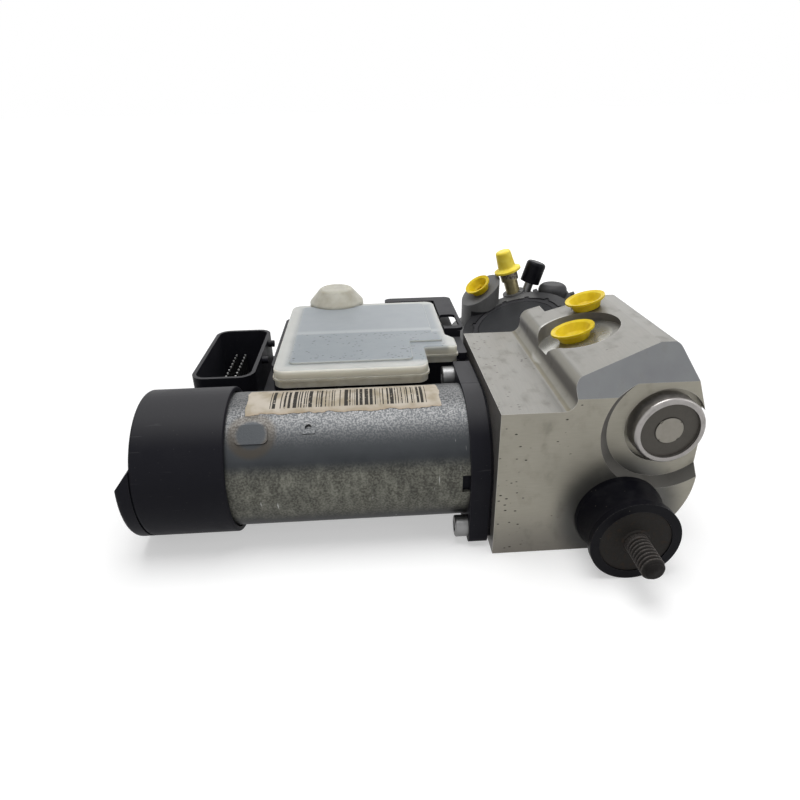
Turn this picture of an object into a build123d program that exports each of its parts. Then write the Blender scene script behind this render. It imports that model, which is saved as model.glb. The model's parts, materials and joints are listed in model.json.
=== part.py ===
from build123d import *
from math import cos, radians, sin
import os

# Motorcycle anti-lock brake pressure modulator with its pump motor, valve block, controller and fluid
# reservoir. Millimetres, +Z up. The origin is where the mounting stud leaves its rubber buffer. The
# sections below are written from the pump motor's axis: x runs right from the flange's left face, y away
# from the viewer and z up, and the datum carries them into the part's frame.

# Mounting stud and rubber buffer
stud_x = 65.5
stud_z = -15.0
stud_r = 5.0
stud_length = 17.5
buffer_r = 19.4
buffer_length = 20.0
buffer_waist = 0.9
plate_r = 15.4
plate_thickness = 1.5
plate_sink = 0.4
buffer_rim = 3.0
base_stud = 12.0
stud_chamfer = 1.2

# Pump motor
can_r = 31.5
can_wall = 2.0
can_length = 138.0
can_edge = 3.0
bearing_r = 11.0
bearing_width = 7.0
bearing_cup_wall = 3.0
bearing_clearance = 0.03
bearing_gap = 1.0
pad_x = -94.5
pad_angle = 131.0
pad_length = 14.0
pad_width = 9.0
pad_height = 0.6
stake_x = -70.0
stake_angle = 127.0
stake_size = 6.0
notch_length = 3.6
notch_height = 8.6
shaft_r = 4.0
magnet_thickness = 5.5
magnet_length = 75.0
magnet_right = -35.0
magnet_angle = 128.0
air_gap = 1.0
core_length = 55.0
core_right = -45.0
slot_count = 10
slot_width = 4.0
slot_depth = 7.0
slot_mouth = 1.1
end_turn = 7.0
commutator_r = 11.0
commutator_length = 17.0
commutator_right = -21.0
commutator_groove = 0.8
brush_plate = 3.0
brush_width = 6.0
brush_length = 8.0
brush_height = 11.0
brush_gap = 0.3
holder_wall = 1.5

# End cap pushed over the motor
cap_length = 39.7
cap_gap = 7.5
cap_left = -can_length - cap_gap
cap_wall = 2.84
cap_lip = 12.2
cap_lip_gap = 0.8
cap_end_wall = 2.5
cap_edge = 1.6
cap_lip_edge = 0.8
lobe_length = 6.8
lobe_top = 14.5
lobe_drop = 8.5
lobe_edge = 2.2

# Paper label
label_left = -100.0
label_right = -6.5
label_from = 75.0
label_to = 115.0
label_thickness = 0.15

# Flange, seal and flange screws
flange_margin = 1.5
flange_r = can_r + flange_margin
flange_thickness = 8.5
flange_corner = 4.0
shaft_hole_r = 6.0
spigot_length = 6.0
spigot_wall = 3.5
seal_thickness = 1.5
seal_inset = 1.5
screw_inset = 6.5
screw_place = flange_r - screw_inset
screw_r = 3.0
screw_head_r = 5.0
screw_head = 6.0
screw_socket = 5.0
screw_reach = 12.0

# Valve block
block_front = -38.0
block_back = 58.0
block_margin = 1.3
block_bottom = -flange_r - block_margin
block_right = 98.0
shelf_margin = 4.4
shelf_z = flange_r + shelf_margin
wall_x = 40.8
wall_fillet = 5.0
port_edge_z = 48.85
crest_x = 80.0
crest_z = 59.6
crest_end_x = 88.0
side_z = 32.3
crest_fillet = 3.0
side_fillet = 6.0
belly_fillet = 36.0
facet_offset = 80.8
back_step_x = 51.0
back_step = 10.0
chamber_r = 15.0
chamber_end = 40.0
expander_r = 3.5
expander_depth = 1.2
expander_ys = (4.0, 32.0)
expander_z = 16.0

# Round recess and plug on the front of the block
recess_x = 81.5
recess_z = 26.5
recess_r = 25.0
recess_depth = 4.0
plug_r = 15.2
plug_gap_r = 17.5
plug_gap_depth = 3.0
plug_rim = 2.5
plug_rim_height = 1.2
plug_length = 16.0
plug_wall = 3.0
plug_disc = 3.0
pin_r = 6.0
pin_stand = 0.3
pin_notches = 4
pin_notch = 1.2

# Low-pressure accumulator behind the plug
piston_r = 13.0
piston_length = 12.0
piston_skirt = 2.0
piston_clearance = 0.05
piston_end_gap = 0.3
accumulator_depth = 44.0
spring_r = 9.0
spring_wire = 1.6
spring_turns = 5

# Eccentric and plungers
throw = 1.0
eccentric_r = 8.0
ring_r = 11.0
eccentric_x = 22.0
eccentric_width = 12.0
plunger_r = 3.5
plunger_length = 8.0
plunger_clearance = 0.05
plunger_gap = 0.1
plunger_plug_r = 5.0
plunger_plug_head = 5.0
plunger_plug_stem = 1.0
plunger_spring_r = 2.4
plunger_wire = 0.8
plunger_turns = 4

# Ports with their transport plugs
port_r = 4.5
port_depth = 14.0
pocket_r = 19.5
pocket_depth = 4.5
pocket_x = 57.0
pocket_y = 14.5
pocket_left_angle = 18.0
pocket_near_angle = -4.0
pocket_shift_x = -1.6
pocket_shift_y = 2.2
port_2_x = 69.2
port_2_y = 37.5
port_2_left_angle = 17.7
port_2_near_angle = -2.2
cup_radii = (10.3, 9.8, 8.2)
cup_height = 5.2
cup_rim = 1.0
cup_wall = 1.2
cup_taper = 0.68
cup_stem = 6.0
spotface_margin = 1.2

# Solenoid valves
valve_y = 48.0
valve_pitch = 13.0
valve_count = 4
valve_r = 4.5
valve_depth = 11.0
valve_tube_r = 3.0
valve_tube_wall = 0.5
valve_tube_length = 26.0
armature_length = 9.0
armature_clearance = 0.05
armature_gap = 0.1
valve_passage_r = 0.8
armature_travel = 0.4
coil_r = 6.0
coil_length = 20.0
bobbin_flange = 1.2
bobbin_step = 0.5
bobbin_clearance = 0.05

# Controller
case_left = -136.0
case_gap = 3.0
case_front = flange_r + case_gap
case_back = 115.0
case_bottom = -30.0
case_sink = 0.5
case_top = can_r - case_sink
case_wall = 2.5
case_corner = 5.0
shroud_width = 33.0
shroud_step = 2.5
shroud_back = 113.0
shroud_top = 25.0
shroud_floor = -3.0
shroud_wall = 2.0
body_left = -93.0
ledge_top = 6.0
shroud_corner = 8.0
hump_gap = 0.8
hump_back = 62.0
hump_height = 4.0
board_z = -22.0
board_thickness = 1.6
board_margin = 3.0
board_right = -26.0
post_r = 3.0
post_left = -86.0
post_right = -32.0
post_inset = 7.0
pin_top = 10.0
pin_size = 0.9
pin_pitch = 4.75
pin_first_x = -126.5
pin_row_gap = 5.5
pin_rows = 2
pin_first_y = 76.0
pin_count = 8
pin_tail = 1.5
pin_strip = 2.4
pin_hole_r = 0.9
knob_r = 2.0
knob_length = 3.5
knob_ys = (69.0, 95.0)
knob_z = 22.0

# Reservoir
tank_left = -88.0
tank_right = -1.0
tank_front = 10.0
tank_back = 112.0
tank_height = 9.0
tank_wall = 1.8
tank_corner = 6.0
tank_edge = 1.2
tray_height = 4.5
weld_height = 1.2
weld_reach = 0.6
notch_width = 13.0
notch_gap = 1.0
bump_reach = 4.0
bump_length = 12.0
bump_slope = 6.0
panel_height = 1.0
panel_edge = 0.5
panel_margin = 7.0
neck_x = -61.0
neck_y = 114.0
neck_r = 16.5
neck_top_r = 9.5
neck_height = 19.0
neck_shoulder = 11.0
neck_edge = 2.5

# Bracket
bracket_left = -31.0
bracket_right = 10.4
bracket_front = 60.0
bracket_back = 120.0
bracket_lift = 3.5
bracket_sheet = 1.6
bracket_gap = 0.6
bracket_corner = 4.0
window_right = 8.5
window_front = 64.0
window_back = 84.0
window_corner = 2.5

# Rear housing with its round cover
rear_left = 12.0
rear_right = 88.0
rear_back = 134.0
rear_bottom = -30.0
rear_corner = 12.0
rib_count = 4
rib_pitch = 14.0
rib_thickness = 2.5
rib_height = 3.0
foot_height = 5.0
cover_x = 48.0
cover_y = 92.0
cover_z = 31.0
cover_height = 8.0
cover_left_angle = 18.0
cover_near_angle = 10.0
cover_r = 33.5
gap_r = 27.0
gap_depth = 4.0
disc_r = 24.0
disc_thickness = 3.5
notch_count = 12
notch_size = 3.0
band_gap = 0.1
band_height = 3.2
tower_x = 32.0
tower_y = 126.0
tower_r = 12.0
tower_seat_z = 42.0
tower_left_angle = 32.5
tower_near_angle = 12.0
lug_x = 78.0
lug_y = 121.0
lug_r = 9.0
lug_z = 46.0
lug_edge = 4.0
tube_x = 54.1
tube_y = 128.0
tube_r = 4.4
tube_bore = 1.6
tube_length = 20.0
tube_cap_start = 14.7
tube_cap_r = 8.4
tube_cap_body_r = 5.6
tube_cap_top_r = 4.7
tube_cap_height = 13.5
tube_cap_rim = 1.3
tube_cap_edge = 1.5
tube_left_angle = 18.0
collar_r = 5.5
collar_length = 6.0
nipple_x = 62.6
nipple_left_angle = -17.0
nipple_r = 2.8
nipple_length = 16.0
boot_r = 6.2
boot_start = 6.5
boot_length = 13.5
boot_edge = 2.0
boss_r = 7.0
boss_z = 39.5
boss_depth = 20.0
stem_sink = 1.0

datum = Vector(-stud_x, buffer_length - block_front, -stud_z)
motor_axis = Axis(datum, (1, 0, 0))
block_left = flange_thickness + seal_thickness
hump_top = case_top + hump_height
tank_seam = case_top + tray_height
tank_top = case_top + tank_height
notch_back = flange_r + notch_gap
bump_back = notch_back + bump_length
bracket_z = hump_top + bracket_lift
shroud_front = case_front + shroud_step
os.makedirs("parts", exist_ok=True)


def at(x, y, z):
    """A point of the motor's own measurements, in the part's frame."""
    return datum + Vector(x, y, z)


def across(x):
    """Plane square to the motor's axis; its axes are y and z, and it faces right."""
    return Plane(origin=at(x, 0, 0), x_dir=(0, 1, 0), z_dir=(1, 0, 0))


def front(y):
    """Upright plane; its axes are x and z, and it faces the viewer."""
    return Plane(origin=at(0, y, 0), x_dir=(1, 0, 0), z_dir=(0, -1, 0))


def level(z):
    """Level plane; its axes are x and y, and it faces up."""
    return Plane(origin=at(0, 0, z), x_dir=(1, 0, 0), z_dir=(0, 0, 1))


def tilted(x, y, z, left, near):
    """Plane through a point, facing up but leaning to the left and towards the viewer, in degrees."""
    normal = Vector(-sin(radians(left)), -sin(radians(near)), cos(radians(left)))
    return Plane(origin=at(x, y, z), x_dir=Vector(0, 1, 0).cross(normal), z_dir=normal)


def lengthwise(angle):
    """Plane through the motor's axis; its axes are x and the radius at this angle, from +y towards +z."""
    turn = radians(angle)
    return Plane(origin=datum, x_dir=(1, 0, 0), z_dir=(0, -sin(turn), cos(turn)))


def outward(x, radius, angle):
    """Plane facing away from the motor's axis at a radius and angle."""
    turn = radians(angle)
    facing = (0, cos(turn), sin(turn))
    return Plane(origin=at(x, radius * cos(turn), radius * sin(turn)), x_dir=(1, 0, 0), z_dir=facing)


def rectangle(left, right, low, high, corner=0.0, mode=Mode.ADD):
    """Rectangle by its four sides, in the current sketch."""
    with Locations(((left + right) / 2, (low + high) / 2)):
        if corner > 0:
            RectangleRounded(right - left, high - low, corner, mode=mode)
        else:
            Rectangle(right - left, high - low, mode=mode)


def outline(*points, radius=0.0):
    """Closed outline through its corners, rounded where a radius is given, in the current sketch."""
    with BuildLine() as sides:
        if radius:
            FilletPolyline(*points, radius=radius, close=True)
        else:
            Polyline(*points, close=True)
    make_face(sides.edges())


# Motor can: a deep-drawn cup, open at the flange, with a cup for the rear bearing in its closed end
can_inner = can_r - can_wall
can_inside = can_wall - can_length
cup_r = bearing_r + bearing_cup_wall
with BuildPart() as motor_can:
    with BuildSketch(front(0)):
        outline(
            (-can_length, 0), (-can_length, can_r), (0, can_r), (0, can_inner),
            (can_inside, can_inner), (can_inside, cup_r), (can_inside + bearing_width, cup_r),
            (can_inside + bearing_width, bearing_r), (can_inside, bearing_r), (can_inside, 0),
            radius=[0, can_edge, 0, 0, can_edge / 2, 0, 0, 0, 0, 0])
    revolve(axis=motor_axis)
    # Pressed pad, stake mark and the locating notch beside the flange
    with BuildSketch(outward(pad_x, can_r - can_wall / 2, pad_angle)):
        RectangleRounded(pad_length, pad_width, pad_width / 4)
    extrude(amount=can_wall / 2 + pad_height)
    with BuildSketch(outward(stake_x, can_r - can_wall / 2, stake_angle)):
        RectangleRounded(stake_size, stake_size, stake_size / 6)
    extrude(amount=can_wall / 2 + pad_height / 2)
    with BuildSketch(outward(stake_x, can_r - can_wall / 2, stake_angle)):
        Circle(stake_size / 4)
    extrude(amount=can_wall, mode=Mode.SUBTRACT)
    with BuildSketch(front(-can_r)):
        rectangle(-notch_length, 0, -notch_height / 2, notch_height / 2)
    extrude(amount=-can_wall * 1.5, mode=Mode.SUBTRACT)
motor_can.part.label = "motor_can"
export_step(motor_can.part, "parts/motor_can.step")

# End cap: a moulded cup with a flared lip and a lobe over the terminals on its lower end
cap_r = can_r + cap_wall
cap_right = cap_left + cap_length
grip_right = cap_right - cap_lip
with BuildPart() as end_cap:
    with BuildSketch(across(cap_left)):
        Circle(cap_r)
        rectangle(-cap_r, cap_r, lobe_top, cap_r, mode=Mode.SUBTRACT)
    extrude(amount=-lobe_length)
    with BuildSketch(front(-cap_r)):
        outline((cap_left, lobe_top), (cap_left - lobe_length, lobe_top),
                (cap_left - lobe_length, lobe_top - lobe_drop))
    extrude(amount=-cap_r * 2, mode=Mode.SUBTRACT)
    fillet(end_cap.faces().sort_by(Axis.X)[0].edges(), lobe_edge)
    with BuildSketch(front(0)):
        outline((cap_left, 0), (cap_left, cap_r), (cap_right, cap_r), (cap_right, 0),
                radius=[0, cap_edge, cap_lip_edge, 0])
    revolve(axis=motor_axis)
    with BuildSketch(front(0)):
        outline(
            (cap_left + cap_end_wall, 0), (cap_left + cap_end_wall, can_r - can_edge),
            (-can_length, can_r - can_edge), (-can_length, can_r), (grip_right, can_r),
            (grip_right, can_r + cap_lip_gap), (cap_right, can_r + cap_lip_gap), (cap_right, 0))
    revolve(axis=motor_axis, mode=Mode.SUBTRACT)
end_cap.part.label = "end_cap"
export_step(end_cap.part, "parts/end_cap.step")

# Paper label wrapped over the top of the can
with BuildPart() as label:
    with BuildSketch(lengthwise(label_from)):
        rectangle(label_left, label_right, can_r, can_r + label_thickness)
    revolve(axis=motor_axis, revolution_arc=label_to - label_from)
label.part.label = "label"
export_step(label.part, "parts/label.step")

# Two field magnets inside the can, above and below
magnet_inner = can_inner - magnet_thickness
for number, middle in enumerate((90, 270), 1):
    with BuildPart() as magnet:
        with BuildSketch(lengthwise(middle - magnet_angle / 2)):
            rectangle(magnet_right - magnet_length, magnet_right, magnet_inner, can_inner)
        revolve(axis=motor_axis, revolution_arc=magnet_angle)
    magnet.part.label = f"magnet_{number}"
    export_step(magnet.part, f"parts/magnet_{number}.step")

# Rotor: slotted core, its windings, commutator, shaft and the eccentric that drives the plungers
core_r = magnet_inner - air_gap
core_left = core_right - core_length
slot_middle = core_r - slot_depth / 2
with BuildPart() as rotor_core:
    with BuildSketch(across(core_left)):
        Circle(core_r)
        Circle(shaft_r, mode=Mode.SUBTRACT)
        with PolarLocations(slot_middle, slot_count):
            Rectangle(slot_depth, slot_width, mode=Mode.SUBTRACT)
    extrude(amount=core_length)
rotor_core.part.label = "rotor_core"
export_step(rotor_core.part, "parts/rotor_core.step")

with BuildPart() as winding:
    for end in (core_left - end_turn, core_right):
        with BuildSketch(across(end)):
            Circle(slot_middle)
            Circle(shaft_r + slot_width, mode=Mode.SUBTRACT)
        extrude(amount=end_turn)
    with BuildSketch(across(core_left)):
        with PolarLocations(slot_middle - slot_mouth / 2, slot_count):
            Rectangle(slot_depth - slot_mouth, slot_width)
    extrude(amount=core_length)
winding.part.label = "winding"
export_step(winding.part, "parts/winding.step")

with BuildPart() as commutator:
    with BuildSketch(across(commutator_right - commutator_length)):
        Circle(commutator_r)
        Circle(shaft_r, mode=Mode.SUBTRACT)
        with PolarLocations(commutator_r, slot_count):
            Rectangle(commutator_groove * 2, commutator_groove, mode=Mode.SUBTRACT)
    extrude(amount=commutator_length)
commutator.part.label = "commutator"
export_step(commutator.part, "parts/commutator.step")

eccentric_right = eccentric_x + eccentric_width
with BuildPart() as rotor_shaft:
    with BuildSketch(across(can_inside + bearing_gap)):
        Circle(shaft_r)
    extrude(amount=eccentric_right - can_inside - bearing_gap)
    with BuildSketch(across(eccentric_x)):
        with Locations((throw, 0)):
            Circle(eccentric_r)
    extrude(amount=eccentric_width)
rotor_shaft.part.label = "rotor_shaft"
export_step(rotor_shaft.part, "parts/rotor_shaft.step")

with BuildPart() as eccentric_ring:
    with BuildSketch(across(eccentric_x)):
        with Locations((throw, 0)):
            Circle(ring_r)
            Circle(eccentric_r, mode=Mode.SUBTRACT)
    extrude(amount=eccentric_width)
eccentric_ring.part.label = "eccentric_ring"
export_step(eccentric_ring.part, "parts/eccentric_ring.step")

# Ball bearings at both ends of the motor; the rings' faces are stepped back over the shield
race = (bearing_r - shaft_r) / 3
for name, left in (("rear_bearing", can_inside), ("front_bearing", 0.0)):
    right = left + bearing_width
    with BuildPart() as bearing:
        with BuildSketch(front(0)):
            outline(
                (left, shaft_r + bearing_clearance), (left, shaft_r + race), (left + race / 4, shaft_r + race),
                (left + race / 4, bearing_r - race), (left, bearing_r - race), (left, bearing_r),
                (right, bearing_r), (right, bearing_r - race), (right - race / 4, bearing_r - race),
                (right - race / 4, shaft_r + race), (right, shaft_r + race),
                (right, shaft_r + bearing_clearance))
        revolve(axis=motor_axis)
    bearing.part.label = name
    export_step(bearing.part, f"parts/{name}.step")

# Brush plate with two brush boxes, and the brushes
plate_left = commutator_right
box_reach = commutator_r + brush_gap + brush_height
with BuildPart() as brush_holder:
    with BuildSketch(across(plate_left)):
        Circle(can_inner)
        Circle(commutator_r + holder_wall, mode=Mode.SUBTRACT)
    extrude(amount=brush_plate)
    for side in (1, -1):
        with BuildSketch(across(plate_left)):
            with Locations((0, side * (commutator_r + holder_wall + box_reach + holder_wall) / 2)):
                Rectangle(brush_width + 2 * holder_wall, box_reach - commutator_r)
        extrude(amount=-brush_length - holder_wall)
        with BuildSketch(across(plate_left)):
            with Locations((0, side * box_reach / 2)):
                Rectangle(brush_width, box_reach)
        extrude(amount=-brush_length, mode=Mode.SUBTRACT)
brush_holder.part.label = "brush_holder"
export_step(brush_holder.part, "parts/brush_holder.step")

for number, side in enumerate((1, -1), 1):
    with BuildPart() as brush:
        with BuildSketch(across(plate_left)):
            with Locations((0, side * (box_reach - brush_height / 2))):
                Rectangle(brush_width, brush_height)
        extrude(amount=-brush_length)
    brush.part.label = f"brush_{number}"
    export_step(brush.part, f"parts/brush_{number}.step")


def flange_shape(inset):
    """Round flange with a square ear at the upper back and one at the lower front."""
    size = flange_r - inset
    Circle(size)
    for side in (1, -1):
        with Locations((side * size / 2, side * size / 2)):
            RectangleRounded(size, size, flange_corner)


# Flange with its spigot in the can, the seal behind it and the two screws through the ears
with BuildPart() as flange:
    with BuildSketch(across(0)):
        flange_shape(0)
        Circle(bearing_r, mode=Mode.SUBTRACT)
    extrude(amount=bearing_width)
    with BuildSketch(across(bearing_width)):
        flange_shape(0)
        Circle(shaft_hole_r, mode=Mode.SUBTRACT)
    extrude(amount=flange_thickness - bearing_width)
    with BuildSketch(across(-spigot_length)):
        Circle(can_inner)
        Circle(can_inner - spigot_wall, mode=Mode.SUBTRACT)
    extrude(amount=spigot_length)
    with BuildSketch(across(0)):
        with Locations((screw_place, screw_place), (-screw_place, -screw_place)):
            Circle(screw_r)
    extrude(amount=flange_thickness, mode=Mode.SUBTRACT)
flange.part.label = "flange"
export_step(flange.part, "parts/flange.step")

with BuildPart() as flange_seal:
    with BuildSketch(across(flange_thickness)):
        flange_shape(seal_inset)
        Circle(chamber_r, mode=Mode.SUBTRACT)
        with Locations((screw_place, screw_place), (-screw_place, -screw_place)):
            Circle(screw_r, mode=Mode.SUBTRACT)
    extrude(amount=seal_thickness)
flange_seal.part.label = "flange_seal"
export_step(flange_seal.part, "parts/flange_seal.step")

for number, side in enumerate((1, -1), 1):
    with BuildPart() as screw:
        with BuildSketch(across(-screw_head)):
            with Locations((side * screw_place, side * screw_place)):
                Circle(screw_head_r)
        extrude(amount=screw_head)
        chamfer(screw.edges().sort_by(Axis.X)[0], screw_head / 12)
        with BuildSketch(across(0)):
            with Locations((side * screw_place, side * screw_place)):
                Circle(screw_r)
        extrude(amount=block_left + screw_reach)
        with BuildSketch(across(-screw_head)):
            with Locations((side * screw_place, side * screw_place)):
                RegularPolygon(screw_socket / 2, 6, major_radius=False)
        extrude(amount=screw_head / 2, mode=Mode.SUBTRACT)
    screw.part.label = f"flange_screw_{number}"
    export_step(screw.part, f"parts/flange_screw_{number}.step")

# Where each port's seat lies and how it leans, for the block and for its transport plug
port_slope = (crest_z - port_edge_z) / (crest_x - wall_x)


def port_face_z(x):
    """Height of the sloping port face."""
    return port_edge_z + port_slope * (x - wall_x)


pocket_plane = tilted(pocket_x, pocket_y, port_face_z(pocket_x), pocket_left_angle, pocket_near_angle)
pocket_floor = pocket_plane.offset(-pocket_depth)
cup_seats = {
    "port_plug_1": Plane(
        origin=pocket_floor.from_local_coords((pocket_shift_x, pocket_shift_y, 0)),
        x_dir=pocket_floor.x_dir, z_dir=pocket_floor.z_dir),
    "port_plug_2": tilted(port_2_x, port_2_y, port_face_z(port_2_x), port_2_left_angle, port_2_near_angle),
    "port_plug_3": tilted(tower_x, tower_y, tower_seat_z, tower_left_angle, tower_near_angle),
}
plug_back = block_front + plug_length
plunger_x = eccentric_x + eccentric_width / 2
plunger_bores = ((0, block_back), (270, -block_bottom))
valve_places = [(valve_y, valve_pitch * (k - (valve_count - 1) / 2)) for k in range(valve_count)]
spring_end = -block_bottom - plunger_plug_head - plunger_plug_stem
buffer_front = block_front - buffer_length

# Valve block: milled from one bar, with its port face, facet, recess, pocket and bores
with BuildPart() as valve_block:
    with BuildSketch(front(block_back)):
        outline(
            (block_left, block_bottom), (block_left, shelf_z), (wall_x, shelf_z), (wall_x, port_edge_z),
            (crest_x, crest_z), (crest_end_x, crest_z), (block_right, side_z), (block_right, block_bottom),
            radius=[0, 0, wall_fillet, wall_fillet, 0, crest_fillet, side_fillet, belly_fillet])
    extrude(amount=block_back - block_front)
    with BuildSketch(front(block_back)):
        rectangle(back_step_x, block_right, block_bottom, crest_z)
    extrude(amount=back_step, mode=Mode.SUBTRACT)
    split(bisect_by=Plane(origin=at(0, 0, facet_offset), z_dir=(0, -1, 1)), keep=Keep.BOTTOM)
    # Cone-sided recess, the groove round the plug, the plug's bore and the accumulator behind it
    with BuildSketch(front(block_front)):
        with Locations((recess_x, recess_z)):
            Circle(recess_r + recess_depth)
    extrude(amount=-recess_depth, taper=45, mode=Mode.SUBTRACT)
    with BuildSketch(front(block_front + recess_depth)):
        with Locations((recess_x, recess_z)):
            Circle(plug_gap_r)
    extrude(amount=-plug_gap_depth, mode=Mode.SUBTRACT)
    with BuildSketch(front(block_front)):
        with Locations((recess_x, recess_z)):
            Circle(plug_r)
    extrude(amount=-plug_length, mode=Mode.SUBTRACT)
    with BuildSketch(front(plug_back)):
        with Locations((recess_x, recess_z)):
            Circle(piston_r)
    extrude(amount=-accumulator_depth, mode=Mode.SUBTRACT)
    # Spotface and bores of the two ports
    with BuildSketch(pocket_floor):
        Circle(pocket_r)
    extrude(amount=pocket_r, mode=Mode.SUBTRACT)
    with BuildSketch(cup_seats["port_plug_2"]):
        Circle(cup_radii[1] * cup_taper + spotface_margin)
    extrude(amount=cup_height, mode=Mode.SUBTRACT)
    with BuildSketch(cup_seats["port_plug_1"], cup_seats["port_plug_2"]):
        Circle(port_r)
    extrude(amount=-port_depth, mode=Mode.SUBTRACT)
    # Chamber of the eccentric, with a plunger bore to the back and one to the bottom
    with BuildSketch(across(block_left)):
        Circle(chamber_r)
    extrude(amount=chamber_end - block_left, mode=Mode.SUBTRACT)
    for angle, face in plunger_bores:
        with BuildSketch(outward(plunger_x, face, angle)):
            Circle(plunger_r)
        extrude(amount=-face, mode=Mode.SUBTRACT)
        with BuildSketch(outward(plunger_x, face, angle)):
            Circle(plunger_plug_r)
        extrude(amount=-plunger_plug_head, mode=Mode.SUBTRACT)
    # Closed ends of two cross-drillings on the right side
    with BuildSketch(across(block_right)):
        with Locations(*[(y, expander_z) for y in expander_ys]):
            Circle(expander_r)
    extrude(amount=-expander_depth, mode=Mode.SUBTRACT)
    # Bores of the solenoid valves, tapped holes of the flange screws and of the rubber buffer
    with BuildSketch(across(block_left)):
        with Locations(*valve_places):
            Circle(valve_r)
    extrude(amount=valve_depth, mode=Mode.SUBTRACT)
    with BuildSketch(across(block_left)):
        with Locations((screw_place, screw_place), (-screw_place, -screw_place)):
            Circle(screw_r)
    extrude(amount=screw_reach, mode=Mode.SUBTRACT)
    with BuildSketch(front(block_front)):
        with Locations((stud_x, stud_z)):
            Circle(stud_r)
    extrude(amount=-base_stud, mode=Mode.SUBTRACT)
valve_block.part.label = "valve_block"
export_step(valve_block.part, "parts/valve_block.step")

# Accumulator plug: a screwed cup with a rolled rim, the disc that closes it and its centre pin
rim_front = block_front - plug_rim_height
disc_back = block_front + plug_disc
with BuildPart() as accumulator_plug:
    with BuildSketch(front(plug_back)):
        with Locations((recess_x, recess_z)):
            Circle(plug_r)
    extrude(amount=plug_back - rim_front)
    fillet(accumulator_plug.faces().sort_by(Axis.Y)[0].edges(), plug_rim_height)
    with BuildSketch(front(disc_back)):
        with Locations((recess_x, recess_z)):
            Circle(plug_r - plug_rim)
    extrude(amount=disc_back - rim_front, mode=Mode.SUBTRACT)
    with BuildSketch(front(plug_back)):
        with Locations((recess_x, recess_z)):
            Circle(plug_r - plug_wall)
    extrude(amount=plug_back - disc_back - plug_wall, mode=Mode.SUBTRACT)
accumulator_plug.part.label = "accumulator_plug"
export_step(accumulator_plug.part, "parts/accumulator_plug.step")

with BuildPart() as plug_cover:
    with BuildSketch(front(disc_back)):
        with Locations((recess_x, recess_z)):
            Circle(plug_r - plug_rim)
    extrude(amount=plug_disc)
    with BuildSketch(front(block_front)):
        with Locations((recess_x, recess_z)):
            Circle(pin_r)
            with PolarLocations(pin_r, pin_notches, start_angle=45):
                Rectangle(pin_notch, pin_notch, mode=Mode.SUBTRACT)
    extrude(amount=pin_stand)
plug_cover.part.label = "plug_cover"
export_step(plug_cover.part, "parts/plug_cover.step")

# Accumulator piston, a cup that slides towards the plug, and the spring between them
bore_end = plug_back + accumulator_depth
piston_front = bore_end - piston_end_gap - piston_length
with BuildPart() as accumulator_piston:
    with BuildSketch(front(bore_end - piston_end_gap)):
        with Locations((recess_x, recess_z)):
            Circle(piston_r - piston_clearance)
    extrude(amount=piston_length)
    with BuildSketch(front(piston_front)):
        with Locations((recess_x, recess_z)):
            Circle(piston_r - piston_skirt)
    extrude(amount=piston_skirt - piston_length, mode=Mode.SUBTRACT)
accumulator_piston.part.label = "accumulator_piston"
export_step(accumulator_piston.part, "parts/accumulator_piston.step")

spring_front = disc_back + plug_wall
spring_back = piston_front + piston_length - piston_skirt
spring_height = spring_back - spring_front - spring_wire
with BuildPart() as accumulator_spring:
    with BuildLine() as accumulator_coil:
        Helix(
            pitch=spring_height / spring_turns, height=spring_height, radius=spring_r,
            center=at(recess_x, spring_front + spring_wire / 2, recess_z), direction=(0, 1, 0))
    with BuildSketch(Plane(origin=accumulator_coil.line @ 0, z_dir=accumulator_coil.line % 0)):
        Circle(spring_wire / 2)
    sweep(path=accumulator_coil.line)
accumulator_spring.part.label = "accumulator_spring"
export_step(accumulator_spring.part, "parts/accumulator_spring.step")

# Plungers, each with its spring and the screw plug that closes its bore
tip = ring_r + throw + plunger_gap
for number, (angle, face) in enumerate(plunger_bores, 1):
    with BuildPart() as plunger:
        with BuildSketch(outward(plunger_x, tip, angle)):
            Circle(plunger_r - plunger_clearance)
        extrude(amount=plunger_length)
        with BuildSketch(outward(plunger_x, tip + plunger_length, angle)):
            Circle(plunger_spring_r - plunger_wire)
        extrude(amount=plunger_wire * 2)
    plunger.part.label = f"plunger_{number}"
    export_step(plunger.part, f"parts/plunger_{number}.step")

    with BuildPart() as plunger_spring_part:
        start = outward(plunger_x, tip + plunger_length + plunger_wire / 2, angle)
        height = spring_end - tip - plunger_length - plunger_wire
        with BuildLine() as plunger_coil:
            Helix(
                pitch=height / plunger_turns, height=height, radius=plunger_spring_r,
                center=start.origin, direction=start.z_dir)
        with BuildSketch(Plane(origin=plunger_coil.line @ 0, z_dir=plunger_coil.line % 0)):
            Circle(plunger_wire / 2)
        sweep(path=plunger_coil.line)
    plunger_spring_part.part.label = f"plunger_spring_{number}"
    export_step(plunger_spring_part.part, f"parts/plunger_spring_{number}.step")

    with BuildPart() as plunger_plug:
        with BuildSketch(outward(plunger_x, face - plunger_plug_head, angle)):
            Circle(plunger_plug_r)
        extrude(amount=plunger_plug_head)
        with BuildSketch(outward(plunger_x, spring_end, angle)):
            Circle(plunger_r)
        extrude(amount=face - plunger_plug_head - spring_end)
        with BuildSketch(outward(plunger_x, face, angle)):
            RegularPolygon(plunger_plug_r / 2, 6)
        extrude(amount=-plunger_plug_head / 2, mode=Mode.SUBTRACT)
    plunger_plug.part.label = f"plunger_plug_{number}"
    export_step(plunger_plug.part, f"parts/plunger_plug_{number}.step")

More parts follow.
